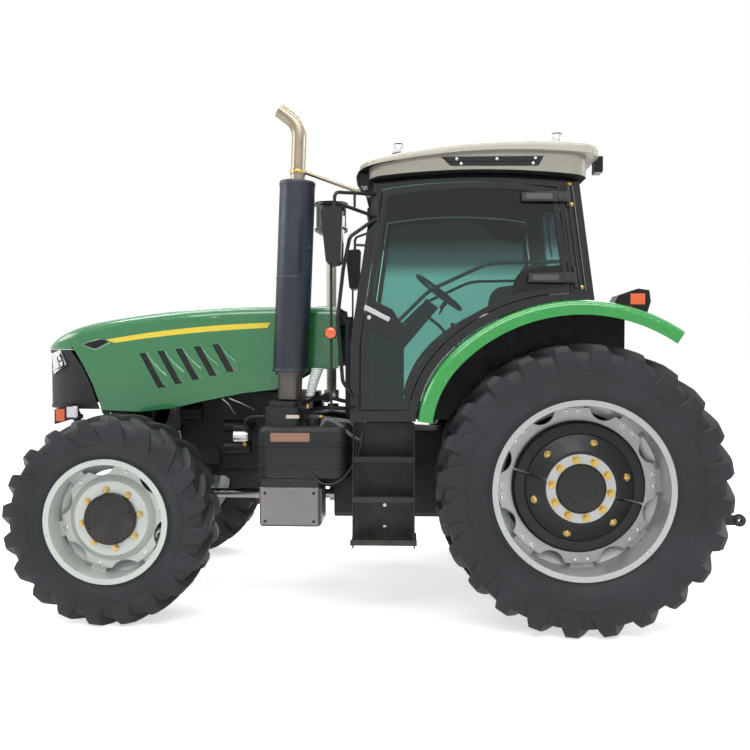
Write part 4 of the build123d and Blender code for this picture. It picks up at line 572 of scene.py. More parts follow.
def plate(name, low, high, bevel, material, body, segments=2):
    """Thin plate or block between two corners, its edges rounded over."""
    bm = bmesh.new()
    bmesh.ops.create_cube(bm, size=1.0)
    size = [h - l for l, h in zip(low, high)]
    bmesh.ops.scale(bm, verts=bm.verts, vec=size)
    bmesh.ops.translate(bm, verts=bm.verts, vec=[(l + h) / 2 for l, h in zip(low, high)])
    bmesh.ops.bevel(bm, geom=bm.edges, offset=min(bevel, 0.45 * min(size)), segments=segments,
                    affect="EDGES")
    return mounted(name, mesh_of(name, bm, material), body)


# The battery box's cover is a pressed sheet, brushed, its edges turned in, held by four screws.
brushed = finish("brushed_grey_sheet", rgb(120, 117, 118), 0.30, metal=0.75, drift=0.2, grain=0.0,
                 edge=0.006)
brushed_tree = brushed.node_tree
brush_coords = node(brushed_tree, "TexCoord").outputs["Object"]
brush_map = node(brushed_tree, "Mapping", {"Vector": brush_coords, "Scale": (2.0, 40.0, 260.0)})
brush_lines = noise(brushed_tree, brush_map.outputs[0], 4.0, 3.0)
brush_edge = node(brushed_tree, "Bevel", {"Radius": 0.006}, samples=4).outputs[0]
brush_bump = node(brushed_tree, "Bump", {"Height": brush_lines, "Strength": 0.35,
                                         "Distance": 0.0004, "Normal": brush_edge})
feed(brushed_tree.nodes["Principled BSDF"], {"Normal": brush_bump.outputs[0]})
box_low, box_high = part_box("battery_box")
plate("battery_cover", (box_low[0] + 0.006, box_high[1] - 0.010, box_low[2] + 0.006),
      (box_high[0] - 0.004, box_high[1] + 0.006, box_high[2] - 0.050), 0.010, brushed, "chassis",
      3)
plate("battery_cover_rear", (box_low[0] - 0.008, box_high[1] - 0.30, box_low[2] + 0.006),
      (box_low[0] + 0.007, box_high[1] - 0.004, box_high[2] - 0.060), 0.008, brushed, "chassis",
      3)
screw = cap_screw("cover_screw", 0.007, 0.005)
set_out("battery_cover_screws", screw, [
    ((x, box_high[1] + 0.006, z), (0, 1, 0))
    for x in (box_low[0] + 0.04, box_high[0] - 0.04)
    for z in (box_low[2] + 0.035, box_high[2] - 0.09)
], step_black, "chassis")

# Blank plates on the sides of both tanks and a small one on the left filler neck.
copper = finish("blank_plate_copper", rgb(142, 108, 92), 0.38, metal=0.5, drift=0.3, grain=0.0004,
                grain_scale=140.0, edge=0.001)
tank_side, both_sides = 0.850, (("left", 1), ("right", -1))
for side, sign in both_sides:
    y0, y1 = sorted((sign * (tank_side - 0.003), sign * (tank_side + 0.0035)))
    plate(f"tank_plate_{side}", (0.449, y0, 1.121), (0.697, y1, 1.177), 0.003, copper, "chassis")
plate("neck_plate", (0.519, 0.797, 1.262), (0.606, 0.805, 1.286), 0.006,
      finish("blank_plate_pale", rgb(196, 184, 172), 0.35, metal=0.3, drift=0.2), "chassis")

# Step treads: rows of punched teeth along the front edge of each tread.
tooth_bm = bmesh.new()
bmesh.ops.create_cone(tooth_bm, cap_ends=True, segments=8, radius1=0.009, radius2=0.005,
                      depth=0.007)
tooth = mesh_of("tread_tooth", tooth_bm)
tread_rear, tread_width, teeth, tooth_rows = -0.21, 0.385, 16, 3
end_inset, edge_inset, row_pitch = 0.022, 0.025, 0.055
for side, sign in both_sides:
    spots = []
    for z, outer_y, wider in ((0.507, 0.966, 0.012), (0.767, 0.939, 0.0), (1.012, 0.913, 0.0)):
        pitch = (tread_width + 2 * wider - 2 * end_inset) / (teeth - 1)
        for row in range(tooth_rows):
            for number in range(teeth):
                x = tread_rear - wider + end_inset + number * pitch
                y = sign * (outer_y - edge_inset - row_pitch * row)
                spots.append(((x, y, z + 0.003), (0, 0, 1)))
    set_out(f"tread_teeth_{side}", tooth, spots, step_black, "chassis")

# Two silver screws hold the left riser panel.
set_out("step_screws", cap_screw("step_screw", 0.008, 0.005),
        [((-0.02, 0.786, z), (0, 1, 0)) for z in (0.715, 0.575)], white_zinc, "chassis")

# ---- Hoses and lines
# Rubber hoses between engine, tanks and cab, and a thin drain line that hangs in a loop below the
# tank; each goes straight from a fitting into the next piece.
hose_rubber = finish("hose_rubber", rgb(38, 39, 41), 0.5, drift=0.2, grain=0.0003,
                     grain_scale=600.0)
hose_grey = finish("hose_grey_sleeve", rgb(96, 100, 100), 0.55, drift=0.2, grain=0.0006,
                   grain_scale=800.0)
duct_white = finish("duct_white_plastic", rgb(214, 222, 216), 0.4, drift=0.08, edge=0.002)


def hose(name, points, diameter, material):
    """A smooth hose through its route's points."""
    curve = bpy.data.curves.new(name, "CURVE")
    curve.dimensions = "3D"
    curve.bevel_depth, curve.bevel_resolution, curve.resolution_u = diameter / 2, 4, 10
    curve.use_fill_caps = True
    line = curve.splines.new("NURBS")
    line.points.add(len(points) - 1)
    for control, place in zip(line.points, points):
        control.co = (*place, 1.0)
    line.order_u = 3
    line.use_endpoint_u = True
    curve.materials.append(material)
    made = mounted(name, curve, "chassis")


hose_rows = (  # name, points, diameter, length, finish
    ("tank_vent_hose", [(0.380, 0.790, 1.205), (0.370, 0.795, 1.262), (0.306, 0.800, 1.255),
                        (0.236, 0.800, 1.192), (0.186, 0.795, 1.154), (0.130, 0.780, 1.120)],
     0.024, 0.33, hose_grey),
    ("drain_loop", [(0.452, 0.856, 0.935), (0.402, 0.868, 0.872), (0.320, 0.872, 0.852),
                    (0.238, 0.868, 0.890), (0.176, 0.860, 0.972), (0.138, 0.845, 1.060),
                    (0.125, 0.830, 1.129), (0.122, 0.790, 1.190)], 0.010, 0.54, hose_rubber),
    ("filter_hose", [(0.936, 0.480, 1.165), (0.930, 0.500, 1.225), (0.895, 0.520, 1.248),
                     (0.842, 0.540, 1.258), (0.770, 0.560, 1.258)], 0.014, 0.23, hose_rubber),
    ("heater_hose_a", [(0.60, 0.300, 1.300), (0.50, 0.330, 1.360), (0.36, 0.350, 1.372),
                       (0.26, 0.330, 1.340), (0.180, 0.320, 1.330)], 0.028, 0.45, hose_rubber),
    ("heater_hose_b", [(0.60, 0.250, 1.250), (0.48, 0.290, 1.290), (0.36, 0.300, 1.300),
                       (0.26, 0.290, 1.290), (0.180, 0.280, 1.280)], 0.028, 0.43, hose_rubber),
)
for name, points, diameter, length, material in hose_rows:
    hose(name, points, diameter, material)

# The silver fuel filter canister beside the engine, with its black head and cap.
bm = bmesh.new()
lathe_solid(bm, [(-0.050, 0), (-0.050, 0.034), (-0.044, 0.041), (0.040, 0.041), (0.044, 0.036),
                 (0.050, 0.036), (0.050, 0)], 28)
bmesh.ops.rotate(bm, verts=bm.verts, matrix=Matrix.Rotation(math.pi / 2, 3, "Z"))
bmesh.ops.translate(bm, verts=bm.verts, vec=(0.961, 0.470, 1.117))
mounted("filter_canister", mesh_of("filter_canister", bm, white_zinc), "chassis")
plate("filter_head", (0.905, 0.22, 1.152), (1.015, 0.500, 1.190), 0.010, cast_black, "chassis",
      3)

# ---- Engine fittings
# Yellow-plated unions on the engine, the tanks and the gearbox, which catch the light in the dark
# under the hood.
fittings = [
    ((0.548, 0.70, 1.333), (0, 0, 1)), ((0.479, 0.70, 1.336), (0, 0, 1)),
    ((0.399, 0.66, 1.260), (0, 1, 0)), ((0.975, 0.285, 1.038), (0, 1, 0)),
    ((0.852, 0.285, 1.045), (0, 1, 0)), ((0.62, 0.262, 1.02), (0, 1, 0)),
    ((-0.104, 0.640, 1.125), (0, 1, 0)), ((-0.02, 0.640, 1.16), (0, 1, 0)),
    ((0.12, 0.640, 1.14), (0, 1, 0)),
]
set_out("plated_unions", cap_screw("plated_union", 0.010, 0.014), fittings, gold_zinc, "chassis")

# ---- Hood
# Pressed steel hood under glossy green enamel, with a raised band along its lower edge, a yellow
# stripe that tapers forward into a black side intake, and five slanted slots a side. Each slot has
# a scooped lip behind it, whose creases catch the light.
hood_green = finish("hood_green_enamel", rgb(20, 112, 58), 0.30, coat=1.0, drift=0.05,
                    grain=0.00006, grain_scale=900.0, edge=0.004)
hood_striped = hood_green.copy()
hood_striped.name = "hood_green_with_stripe"
stripe_tree = hood_striped.node_tree
stripe_face = stripe_tree.nodes["Principled BSDF"]
stripe_axes = node(stripe_tree, "SeparateXYZ",
                   {0: node(stripe_tree, "TexCoord").outputs["Object"]}).outputs


def stripe_calc(operation, one, two=0.0):
    """One arithmetic step in the stripe's material."""
    return calc(stripe_tree, operation, one, two)


def curve_over_length(high, slope, bend):
    """Height of a line that bows over the hood's length."""
    along = stripe_axes["X"]
    straight = stripe_calc("ADD", stripe_calc("MULTIPLY", along, slope), high)
    bowed = stripe_calc("MULTIPLY", stripe_calc("MULTIPLY", along, along), bend)
    return stripe_calc("ADD", straight, bowed)


def slanting_end(height, slope):
    """Station along the hood, sheared so that a slanting end of the stripe becomes upright."""
    drop = stripe_calc("SUBTRACT", stripe_axes["Z"], height)
    return stripe_calc("ADD", stripe_axes["X"], stripe_calc("MULTIPLY", drop, slope))


stripe_top = curve_over_length(1.8650, 0.0698, -0.0637)
stripe_low = curve_over_length(1.8518, 0.0313, -0.04835)
stripe_mask = stripe_calc(
    "MULTIPLY",
    stripe_calc("MULTIPLY", stripe_calc("LESS_THAN", stripe_axes["Z"], stripe_top),
                stripe_calc("GREATER_THAN", stripe_axes["Z"], stripe_low)),
    stripe_calc("MULTIPLY", stripe_calc("LESS_THAN", slanting_end(1.747, -3.6), 1.839),
                stripe_calc("GREATER_THAN", slanting_end(1.846, 0.58), 0.782)))
green_link = stripe_face.inputs["Base Color"].links[0]
feed(stripe_face, {"Base Color": blend(stripe_tree, stripe_mask, green_link.from_socket,
                                       rgb(232, 205, 38))})
dress(hood_striped, "hood")

hood_shell = nodes["hood"].data
hood_tree = BVHTree.FromPolygons([v.co for v in hood_shell.vertices],
                                 [p.vertices for p in hood_shell.polygons])
hood_half = 0.43


def on_hood(x, z, out=0.0):
    """Point on the left skin of the hood at a station and a height, moved outboard."""
    hit = hood_tree.ray_cast(Vector((x, 1.2, z)), Vector((0, -1, 0)))[0]
    if hit is None or hit.y < 0.2:
        return Vector((x, hood_half + out, z))
    return hit + Vector((0, out, 0))


belly_least, belly_more, lip_height, lip_clear, lip_thick = 0.010, 0.052, 0.0125, 0.0006, 0.004


def scoop(name, top, low):
    """Pressed lip behind a slot: a blister that stands out along the slot's rear edge and runs
    out into the skin along a line that bellies backwards and curls in under the slot."""
    bm = bmesh.new()
    rows = []
    along_steps, across_steps = 14, 7
    for i in range(along_steps + 1):
        u = i / along_steps
        x = top[0] + (low[0] - top[0]) * u
        z = top[1] + (low[1] - top[1]) * u
        belly = belly_least + belly_more * math.sin(math.pi * min(1.0, u ** 1.6 * 0.9)) ** 1.2
        swell = math.sin(math.pi * min(1.0, 0.06 + 0.9 * u)) ** 0.5
        row = []
        for j in range(across_steps + 1):
            v = j / across_steps
            px, pz = x - belly * v, z + 0.010 * v * (0.5 - u)
            lift = lip_height * swell * (1 - v ** 3) + lip_clear
            row.append(bm.verts.new(on_hood(px, pz, lift)))
        rows.append(row)
    for one, two in zip(rows, rows[1:]):
        for j in range(across_steps):
            bm.faces.new((one[j], one[j + 1], two[j + 1], two[j]))
    back = bmesh.ops.extrude_face_region(bm, geom=bm.faces[:])
    moved = [g for g in back["geom"] if isinstance(g, bmesh.types.BMVert)]
    bmesh.ops.translate(bm, verts=moved, vec=(0, -lip_thick, 0))
    return mesh_of(name, bm, hood_green, smooth=50)


slots, slot_top_first, slot_low_first = 5, (1.616, 1.677), (1.486, 1.444)
for number in range(slots):
    slot_top = (slot_top_first[0] - 0.1265 * number, slot_top_first[1] + 0.015 * number)
    slot_low = (slot_low_first[0] - 0.1195 * number, slot_low_first[1] + 0.027 * number)
    lip = scoop(f"vent_lip_{number + 1}_left", slot_top, slot_low)
    on_both_sides(f"vent_lip_{number + 1}", lip, "hood")


def side_slab(name, corners, thick, material, body, round_by=0.004, place=on_hood, rise=0.0):
    """Flat or gently bent plate set on both side skins, with its corners rounded."""
    bm = bmesh.new()
    outline = [bm.verts.new((x, 0, z)) for x, z in corners]
    bm.faces.new(outline)
    bmesh.ops.bevel(bm, geom=outline, offset=round_by, segments=4, affect="VERTICES")
    for vertex in bm.verts:
        vertex.co = place(vertex.co.x, vertex.co.z, rise)
    made = bmesh.ops.extrude_face_region(bm, geom=bm.faces[:])
    for item in made["geom"]:
        if isinstance(item, bmesh.types.BMVert):
            item.co = item.co + Vector((0, thick, 0))
    bmesh.ops.triangulate(bm, faces=[f for f in bm.faces if len(f.verts) > 4])
    on_both_sides(name, mesh_of(f"{name}_left", bm, material, smooth=30), body)


# Side intake: a black insert with a pale painted rim round it, let into the recess.
trim_black = finish("gloss_black_trim", rgb(15, 16, 18), 0.22, drift=0.1, edge=0.002, shine=0.3)
intake = [(2.071, 1.735), (1.942, 1.768), (1.879, 1.757), (1.985, 1.704)]
side_slab("side_intake", intake, 0.004, trim_black, "hood", 0.008)
pale_line = finish("pale_line_paint", rgb(205, 214, 206), 0.35, drift=0.05)


def strip_along(name, points, radius, material, body, mirror_too=True, closed=False):
    """Thin bead or wire through points, as a plain mesh."""
    curve = bpy.data.curves.new(name, "CURVE")
    curve.dimensions = "3D"
    curve.bevel_depth, curve.bevel_resolution, curve.resolution_u = radius, 2, 4
    curve.use_fill_caps = True
    line = curve.splines.new("POLY")
    line.points.add(len(points) - 1)
    for control, place in zip(line.points, points):
        control.co = (*place, 1.0)
    line.use_cyclic_u = closed
    host = placed(name + "_host", curve)
    evaluated = host.evaluated_get(bpy.context.evaluated_depsgraph_get())
    mesh = bpy.data.meshes.new_from_object(evaluated)
    bpy.data.objects.remove(host)
    bm = bmesh.new()
    bm.from_mesh(mesh)
    plain = mesh_of(name, bm, None, smooth=40)
    plain.materials.clear()
    plain.materials.append(material)
    if mirror_too:
        on_both_sides(name, plain, body)
    else:
        mounted(name, plain, body)


outline = [on_hood(x, z, 0.001) for x, z in ((1.873, 1.748), (1.975, 1.698), (2.083, 1.735),
                                              (1.945, 1.775))]
strip_along("intake_rim", outline, 0.0022, pale_line, "hood")

# ---- Grille
# Moulded charcoal frame round fine diamond mesh, at the nose and behind the side slots; the
# mesh's holes are painted near black, painted shade for the dark seen through them.
grille_black = finish("grille_charcoal", rgb(40, 41, 45), 0.42, grain=0.0, shine=0.3)
grille_tree = grille_black.node_tree
grille_axes = node(grille_tree, "SeparateXYZ",
                   {0: node(grille_tree, "TexCoord").outputs["Object"]}).outputs
mesh_pitch = 520.0  # radians a metre
across = calc(grille_tree, "ADD", grille_axes["X"], grille_axes["Y"])
slants = [calc(grille_tree, way, across, grille_axes["Z"]) for way in ("ADD", "SUBTRACT")]
waves = [calc(grille_tree, "SINE", calc(grille_tree, "MULTIPLY", slant, mesh_pitch))
         for slant in slants]
holes = node(grille_tree, "MapRange", {"Value": calc(grille_tree, "MULTIPLY", *waves),
                                       "From Min": 0.05, "From Max": 0.35}).outputs["Result"]
grille_face = grille_tree.nodes["Principled BSDF"]
frame_tone = grille_face.inputs["Base Color"].links[0].from_socket
grille_bump = node(grille_tree, "Bump", {"Height": holes, "Strength": 0.5, "Distance": 0.001},
                   invert=True)
# The holes get a near-black colour: painted shade.
feed(grille_face, {"Base Color": blend(grille_tree, holes, frame_tone, rgb(10, 10, 11)),
                   "Normal": grille_bump.outputs[0]})
dress(grille_black, "grilles")

# ---- Head lamps
# Lamps in the grille's upper corners: a white surround, a bright reflector bowl, and two bulbs a
# side in black bezels.
lamp_white = finish("lamp_white_surround", rgb(222, 224, 226), 0.22, coat=0.6, drift=0.04,
                    edge=0.004)
reflector = finish("lamp_reflector", rgb(225, 228, 232), 0.10, metal=1.0, grain=0.0012,
                   grain_scale=70.0)
orange_lens = finish("orange_lens", rgb(226, 92, 28), 0.18, coat=0.8, grain=0.0008,
                     grain_scale=160.0, edge=0.002)
dress(lamp_white, "headlamps")
lens = [(2.329, 1.655), (2.262, 1.677), (2.222, 1.604), (2.310, 1.548)]
nose_out_x, nose_out_y = 0.55, 0.83


def on_nose(x, z, out=0.0):
    """Point on the head lamp's front skin at a station and a height, found on a slant."""
    way = Vector((-nose_out_x, -nose_out_y, 0.0)).normalized()
    start = Vector((x, 0.39, z)) - way * 1.0
    hit = lamp_skin.ray_cast(start, way)[0]
    return (hit if hit is not None else Vector((x, 0.36, z))) - way * out


lamp_mesh = nodes["headlamps"].data
lamp_skin = BVHTree.FromPolygons([v.co for v in lamp_mesh.vertices],
                                 [p.vertices for p in lamp_mesh.polygons])
side_slab("lamp_bowls", lens, 0.004, reflector, "hood", 0.012, place=on_nose)


def ring_piece(name, radius, tube, height):
    """Ring with a hollow middle, standing along +Z, such as a bezel round a bulb."""
    bm = bmesh.new()
    lathe(bm, [(0.0, radius - tube), (height, radius - tube * 0.6), (height, radius),
               (0.0, radius + tube)], 28)
    upright(bm)
    return mesh_of(name, bm)


bezel = ring_piece("lamp_bezel", 0.026, 0.006, 0.006)
dome_bm = bmesh.new()
lathe_solid(dome_bm, [(-0.004, 0), (-0.004, 0.018), (0.004, 0.017), (0.009, 0.010), (0.011, 0)], 20)
upright(dome_bm)
bulb = mesh_of("lamp_bulb", dome_bm)
for side, sign in both_sides:
    spots = []
    for x, z in ((2.287, 1.638), (2.268, 1.600)):
        place = on_nose(x, z, 0.004)
        spots.append(((place.x, sign * place.y, place.z), (nose_out_x, sign * nose_out_y, 0.0)))
    set_out(f"lamp_bezels_{side}", bezel, spots, trim_black, "hood")
    set_out(f"lamp_bulbs_{side}", bulb, spots, lamp_white, "hood")

# ---- Low lamps, tail lamps, roof lamps and beacons
# Black housings. The low front lamps are white behind and orange in front, the tail lamps have a
# clear lens behind and an orange one at the side, and two clear beacons stand on the roof.
dress(trim_black, "lamps")
clear_cap = finish("clear_lamp_cap", rgb(198, 203, 202), 0.08, coat=1.0, drift=0.2, grain=0.0006,
                   grain_scale=220.0, edge=0.002)
# name, lowest corner and highest corner on the left side, bevel, finish
lens_rows = (
    ("low_lamp_white", (2.078, 0.466, 1.232), (2.158, 0.479, 1.316), 0.010, lamp_white),
    ("low_lamp_orange", (2.162, 0.466, 1.208), (2.234, 0.479, 1.300), 0.010, orange_lens),
    ("low_lamp_front", (2.228, 0.404, 1.206), (2.244, 0.464, 1.284), 0.010, clear_cap),
    ("roof_lamp_front", (0.145, 0.570, 2.756), (0.156, 0.670, 2.818), 0.012, clear_cap),
    ("roof_lamp_rear", (-1.420, 0.520, 2.848), (-1.411, 0.600, 2.930), 0.012, clear_cap),
    ("tail_lamp_lens", (-1.607, 0.884, 1.990), (-1.590, 1.006, 2.046), 0.008, clear_cap),
    ("tail_lamp_amber", (-1.575, 1.012, 1.962), (-1.480, 1.026, 2.036), 0.008, orange_lens),
)
for side, sign in both_sides:
    for name, low, high, bevel, material in lens_rows:
        y0, y1 = sorted((sign * low[1], sign * high[1]))
        plate(f"{name}_{side}", (low[0], y0, low[2]), (high[0], y1, high[2]), bevel, material,
              "chassis", 3)

beacon_cap = bmesh.new()
lathe_solid(beacon_cap, [(0.0, 0), (0.0, 0.0335), (0.052, 0.0335), (0.060, 0.030), (0.0645, 0.020),
                         (0.066, 0)], 32)
upright(beacon_cap)
set_out("beacon_caps", mesh_of("beacon_cap", beacon_cap),
        [((-0.104, 0.6, 2.9675), (0, 0, 1)), ((-1.120, 0.6, 3.025), (0, 0, 1))], clear_cap,
        "chassis")

# ---- Radiator, cowl and wheel weights
# The radiator's fins and the plate behind the engine are painted black; the weights are rough
# castings under thick satin paint.
fin_black = finish("radiator_fins", rgb(26, 27, 29), 0.5, drift=0.2, grain=0.0, edge=0.002,
                   shine=0.3)
fin_tree = fin_black.node_tree
fin_wave = node(fin_tree, "TexWave", {"Vector": node(fin_tree, "TexCoord").outputs["Object"],
                                      "Scale": 60.0}, bands_direction="Z")
fin_bump = node(fin_tree, "Bump", {"Height": fin_wave.outputs["Fac"], "Strength": 0.7,
                                   "Distance": 0.002})
feed(fin_tree.nodes["Principled BSDF"], {"Normal": fin_bump.outputs[0]})
dress(fin_black, "radiator")
dress(moulded, "cowl")
weight_black = finish("weight_satin_black", rgb(27, 28, 30), 0.34, drift=0.15, grain=0.0005,
                      grain_scale=300.0, edge=0.005, rub=0.04, shine=0.3)
dress(weight_black, "weights_rear_left", "weights_rear_right")


# ---- Exhaust
# A perforated charcoal shield wraps the muffler, painted bluish as a painted sheen; its holes are
# black discs, painted shade. The bare outlet pipe above it is straw-grey steel up to its bent tip.
def dress_where(name, material, test):
    """Gives a CAD piece's faces that pass a test their own finish."""
    mesh = nodes[name].data
    mesh.materials.append(material)
    slot_number = len(mesh.materials) - 1
    for face in mesh.polygons:
        if test(face.center, face.normal):
            face.material_index = slot_number


# The shield's bluish cast is a painted sheen over charcoal paint.
shield_grey = finish("heat_shield_charcoal", rgb(62, 66, 74), 0.34, metal=0.6, drift=0.25,
                     grain=0.0003, edge=0.003)
# The holes are drawn as black discs on the shield: painted shade where it is open.
hole_shade_black = finish("shield_hole_shade_black", rgb(9, 10, 12), 0.7, drift=0.1, grain=0.0, shine=0.1)
pipe_steel = finish("heated_pipe_steel", rgb(148, 138, 122), 0.30, metal=0.95, drift=0.3,
                    grain=0.0002, grain_scale=200.0, edge=0.002)
under_steel = finish("muffler_inlet_steel", rgb(96, 92, 88), 0.4, metal=0.8, drift=0.3,
                     grain=0.0003, edge=0.003, rub=0.1)
dress(pipe_steel, "exhaust")
shield_low, shield_high = 1.551, 2.79
dress_where("exhaust", shield_grey, lambda c, n: shield_low < c.z < shield_high and c.x > 0.35)
dress_where("exhaust", under_steel, lambda c, n: c.z <= shield_low)
muffler_foot, muffler_radius = 1.553, 0.114
muffler_x, muffler_y, muffler_lean = 0.6, 0.62, math.tan(math.radians(2.3))


def on_muffler(turn, z, out=0.0):
    """Point on the leaning shield at a turn round it and a height."""
    reach = muffler_radius + out
    return (muffler_x - (z - muffler_foot) * muffler_lean + reach * math.cos(turn),
            muffler_y + reach * math.sin(turn), z)


hole_bm = bmesh.new()
bmesh.ops.create_circle(hole_bm, cap_ends=True, segments=6, radius=0.0030)
hole_spots = []
hole_rows, holes_round, hole_pitch = 106, 56, 0.0111
for row in range(hole_rows):
    z = muffler_foot + 0.030 + row * hole_pitch
    for number in range(holes_round):
        turn = 2 * math.pi * (number + 0.5 * (row % 2)) / holes_round
        hole_spots.append((on_muffler(turn, z, 0.0006), (math.cos(turn), math.sin(turn), 0.0)))
set_out("shield_holes", mesh_of("shield_hole", hole_bm), hole_spots, hole_shade_black, "chassis")


def collar(name, z, height, radius, proud, material):
    """Band round the leaning exhaust at a height, with rolled edges."""
    bm = bmesh.new()
    profile = [(0.0, radius - 0.002), (0.0, radius + proud * 0.6), (height * 0.2, radius + proud),
               (height * 0.8, radius + proud), (height, radius + proud * 0.6),
               (height, radius - 0.002)]
    lathe(bm, profile, 48)
    upright(bm)
    bmesh.ops.translate(bm, verts=bm.verts,
                        vec=(muffler_x - (z - muffler_foot) * muffler_lean, muffler_y, z))
    mounted(name, mesh_of(name, bm, material), "chassis")


collar("shield_band_low", 1.556, 0.020, muffler_radius, 0.004, shield_grey)
collar("shield_band_high", 2.758, 0.024, muffler_radius, 0.004, shield_grey)
collar("shield_band_middle", 2.160, 0.012, muffler_radius, 0.003, shield_grey)
collar("pipe_clamp", 2.836, 0.026, 0.048, 0.005, gold_zinc)
clamp_place = (muffler_x - 1.29 * muffler_lean, muffler_y + 0.052, 2.849)
set_out("pipe_clamp_bolt", cap_screw("clamp_bolt", 0.008, 0.012), [(clamp_place, (0, 1, 0))],
        gold_zinc, "chassis")
seam_turn = math.radians(200)
strip_along("shield_seam", [on_muffler(seam_turn, 1.58 + 0.1 * k, 0.002) for k in range(12)], 0.003,
            shield_grey, "chassis", mirror_too=False)

# ---- Air intake
# Cream painted stack, slightly glossy, under a black pre-cleaner bowl. The bowl's ribs are in the
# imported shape.
cream = finish("intake_cream_enamel", rgb(196, 192, 176), 0.32, coat=0.4, drift=0.06)
bowl_foot = 2.606
dress(cream, "air_intake")
dress_where("air_intake", trim_black, lambda c, n: c.z > bowl_foot)

# ---- Fenders
# Bright green and glossy outside, with a black liner underneath and silver screws along it; the
# inner walls facing the frame are painted black too, as painted shade.
fender_green = finish("fender_green_enamel", rgb(16, 146, 52), 0.26, coat=1.0, drift=0.05,
                      grain=0.00006, grain_scale=900.0, edge=0.004)
liner_and_shade_black = finish("fender_liner_and_shade_black", rgb(24, 27, 26), 0.5, drift=0.2, grain=0.0006,
                     grain_scale=300.0, edge=0.002, dust=0.15, shine=0.3)
dress(fender_green, "fenders")
arch_x, arch_z = -1.188, 0.911


def under_arch(centre, normal):
    """True on the fender's faces that look down at the tyre or in towards the frame."""
    out = Vector((centre.x - arch_x, 0.0, centre.z - arch_z)).normalized()
    inward = normal.y * (1 if centre.y > 0 else -1)
    return normal.dot(out) < -0.4 or inward < -0.5 or abs(centre.y) < 0.66


# Black on the faces under the arch is the liner; on the inner walls it is painted shade.
dress_where("fenders", liner_and_shade_black, under_arch)
liner_screw = cap_screw("liner_screw", 0.008, 0.005)
liner_radius, screw_y = 1.072, 0.985
for side, sign in both_sides:
    spots = []
    for degrees_up in range(38, 128, 9):
        along, up = math.cos(math.radians(degrees_up)), math.sin(math.radians(degrees_up))
        spots.append(((arch_x + liner_radius * along, sign * screw_y, arch_z + liner_radius * up),
                      (-along, 0.0, -up)))
    set_out(f"liner_screws_{side}", liner_screw, spots, white_zinc, "chassis")

# ---- Cab
# Gloss black side frames and doors, dark grey hinge covers with paler middles, silver handles, and
# pillars with three pressed ridges at the rear.
cab_black = finish("cab_gloss_black", rgb(16, 17, 19), 0.16, coat=0.5, drift=0.08, grain=0.0001,
                   edge=0.004, shine=0.3)
hinge_grey = finish("hinge_cover_grey", rgb(48, 48, 51), 0.36, drift=0.12, grain=0.0003,
                    edge=0.004, shine=0.35)
hinge_pale = finish("hinge_cover_middle", rgb(82, 78, 80), 0.30, drift=0.15, grain=0.0003,
                    edge=0.003)
handle_silver = finish("handle_silver", rgb(206, 208, 210), 0.18, metal=0.85, drift=0.08,
                       grain=0.0001, edge=0.003)
floor_mat = finish("floor_mat_rubber", rgb(28, 29, 31), 0.6, drift=0.2, grain=0.0012,
                   grain_scale=90.0, edge=0.004, shine=0.3)
dress(cab_black, "cab_frame", "door_left", "door_right")
dress(floor_mat, "cab_floor")
lean, side_foot, side_half, least_proud = math.radians(4.0), 1.3, 0.8, 0.006


def on_cab(x, z, out=0.0):
    """Point on the left cab side, which leans in by four degrees, moved outboard."""
    rise = z - side_foot
    return Vector((x, side_half - rise * math.sin(lean) + out * math.cos(lean),
                   side_foot + rise * math.cos(lean) + out * math.sin(lean)))


def proud_of_cab(centre):
    """How far a point stands outboard of the cab's side."""
    return ((abs(centre.y) - side_half) * math.cos(lean)
            + (centre.z - side_foot) * math.sin(lean))


for side in ("left", "right"):
    dress_where(f"door_{side}", handle_silver,
                lambda c, n: proud_of_cab(c) > least_proud and c.x > -0.08 and c.z < 2.02)
    dress_where(f"door_{side}", hinge_grey,
                lambda c, n: proud_of_cab(c) > least_proud and c.x < -0.6)
for label, x0, z in (("low", -1.212, 2.150), ("high", -1.172, 2.665)):
    side_slab(f"hinge_middle_{label}", [(x0 + 0.100, z + 0.019), (x0 + 0.270, z + 0.017),
                                        (x0 + 0.270, z - 0.017), (x0 + 0.100, z - 0.019)], 0.003,
              hinge_pale, "door_{side}", 0.008, place=on_cab, rise=0.0322)
    side_slab(f"hinge_cap_{label}", [(x0 + 0.020, z + 0.026), (x0 + 0.068, z + 0.027),
                                     (x0 + 0.068, z - 0.027), (x0 + 0.020, z - 0.026)], 0.006,
              hinge_grey, "door_{side}", 0.006, place=on_cab, rise=0.0325)
hinge_bolt = cap_screw("hinge_bolt", 0.009, 0.010)
for side, sign in both_sides:
    spots = []
    for x, z in ((-1.186, 2.752), (-1.258, 2.092), (-1.200, 2.618)):
        place = on_cab(x, z, 0.001)
        spots.append(((place.x, sign * place.y, place.z), (0.0, sign * 1.0, 0.07)))
    set_out(f"hinge_bolts_{side}", hinge_bolt, spots, gold_zinc, "chassis")
for number, ahead in enumerate((0.052, 0.084, 0.112)):
    ridge = []
    for k in range(9):
        z = 2.075 + k * 0.083
        ridge.append(on_cab(-1.340 + (z - 2.0) * 0.1226 + ahead, z, 0.002))
    strip_along(f"pillar_ridge_{number + 1}", ridge, 0.0065, cab_black, "chassis")

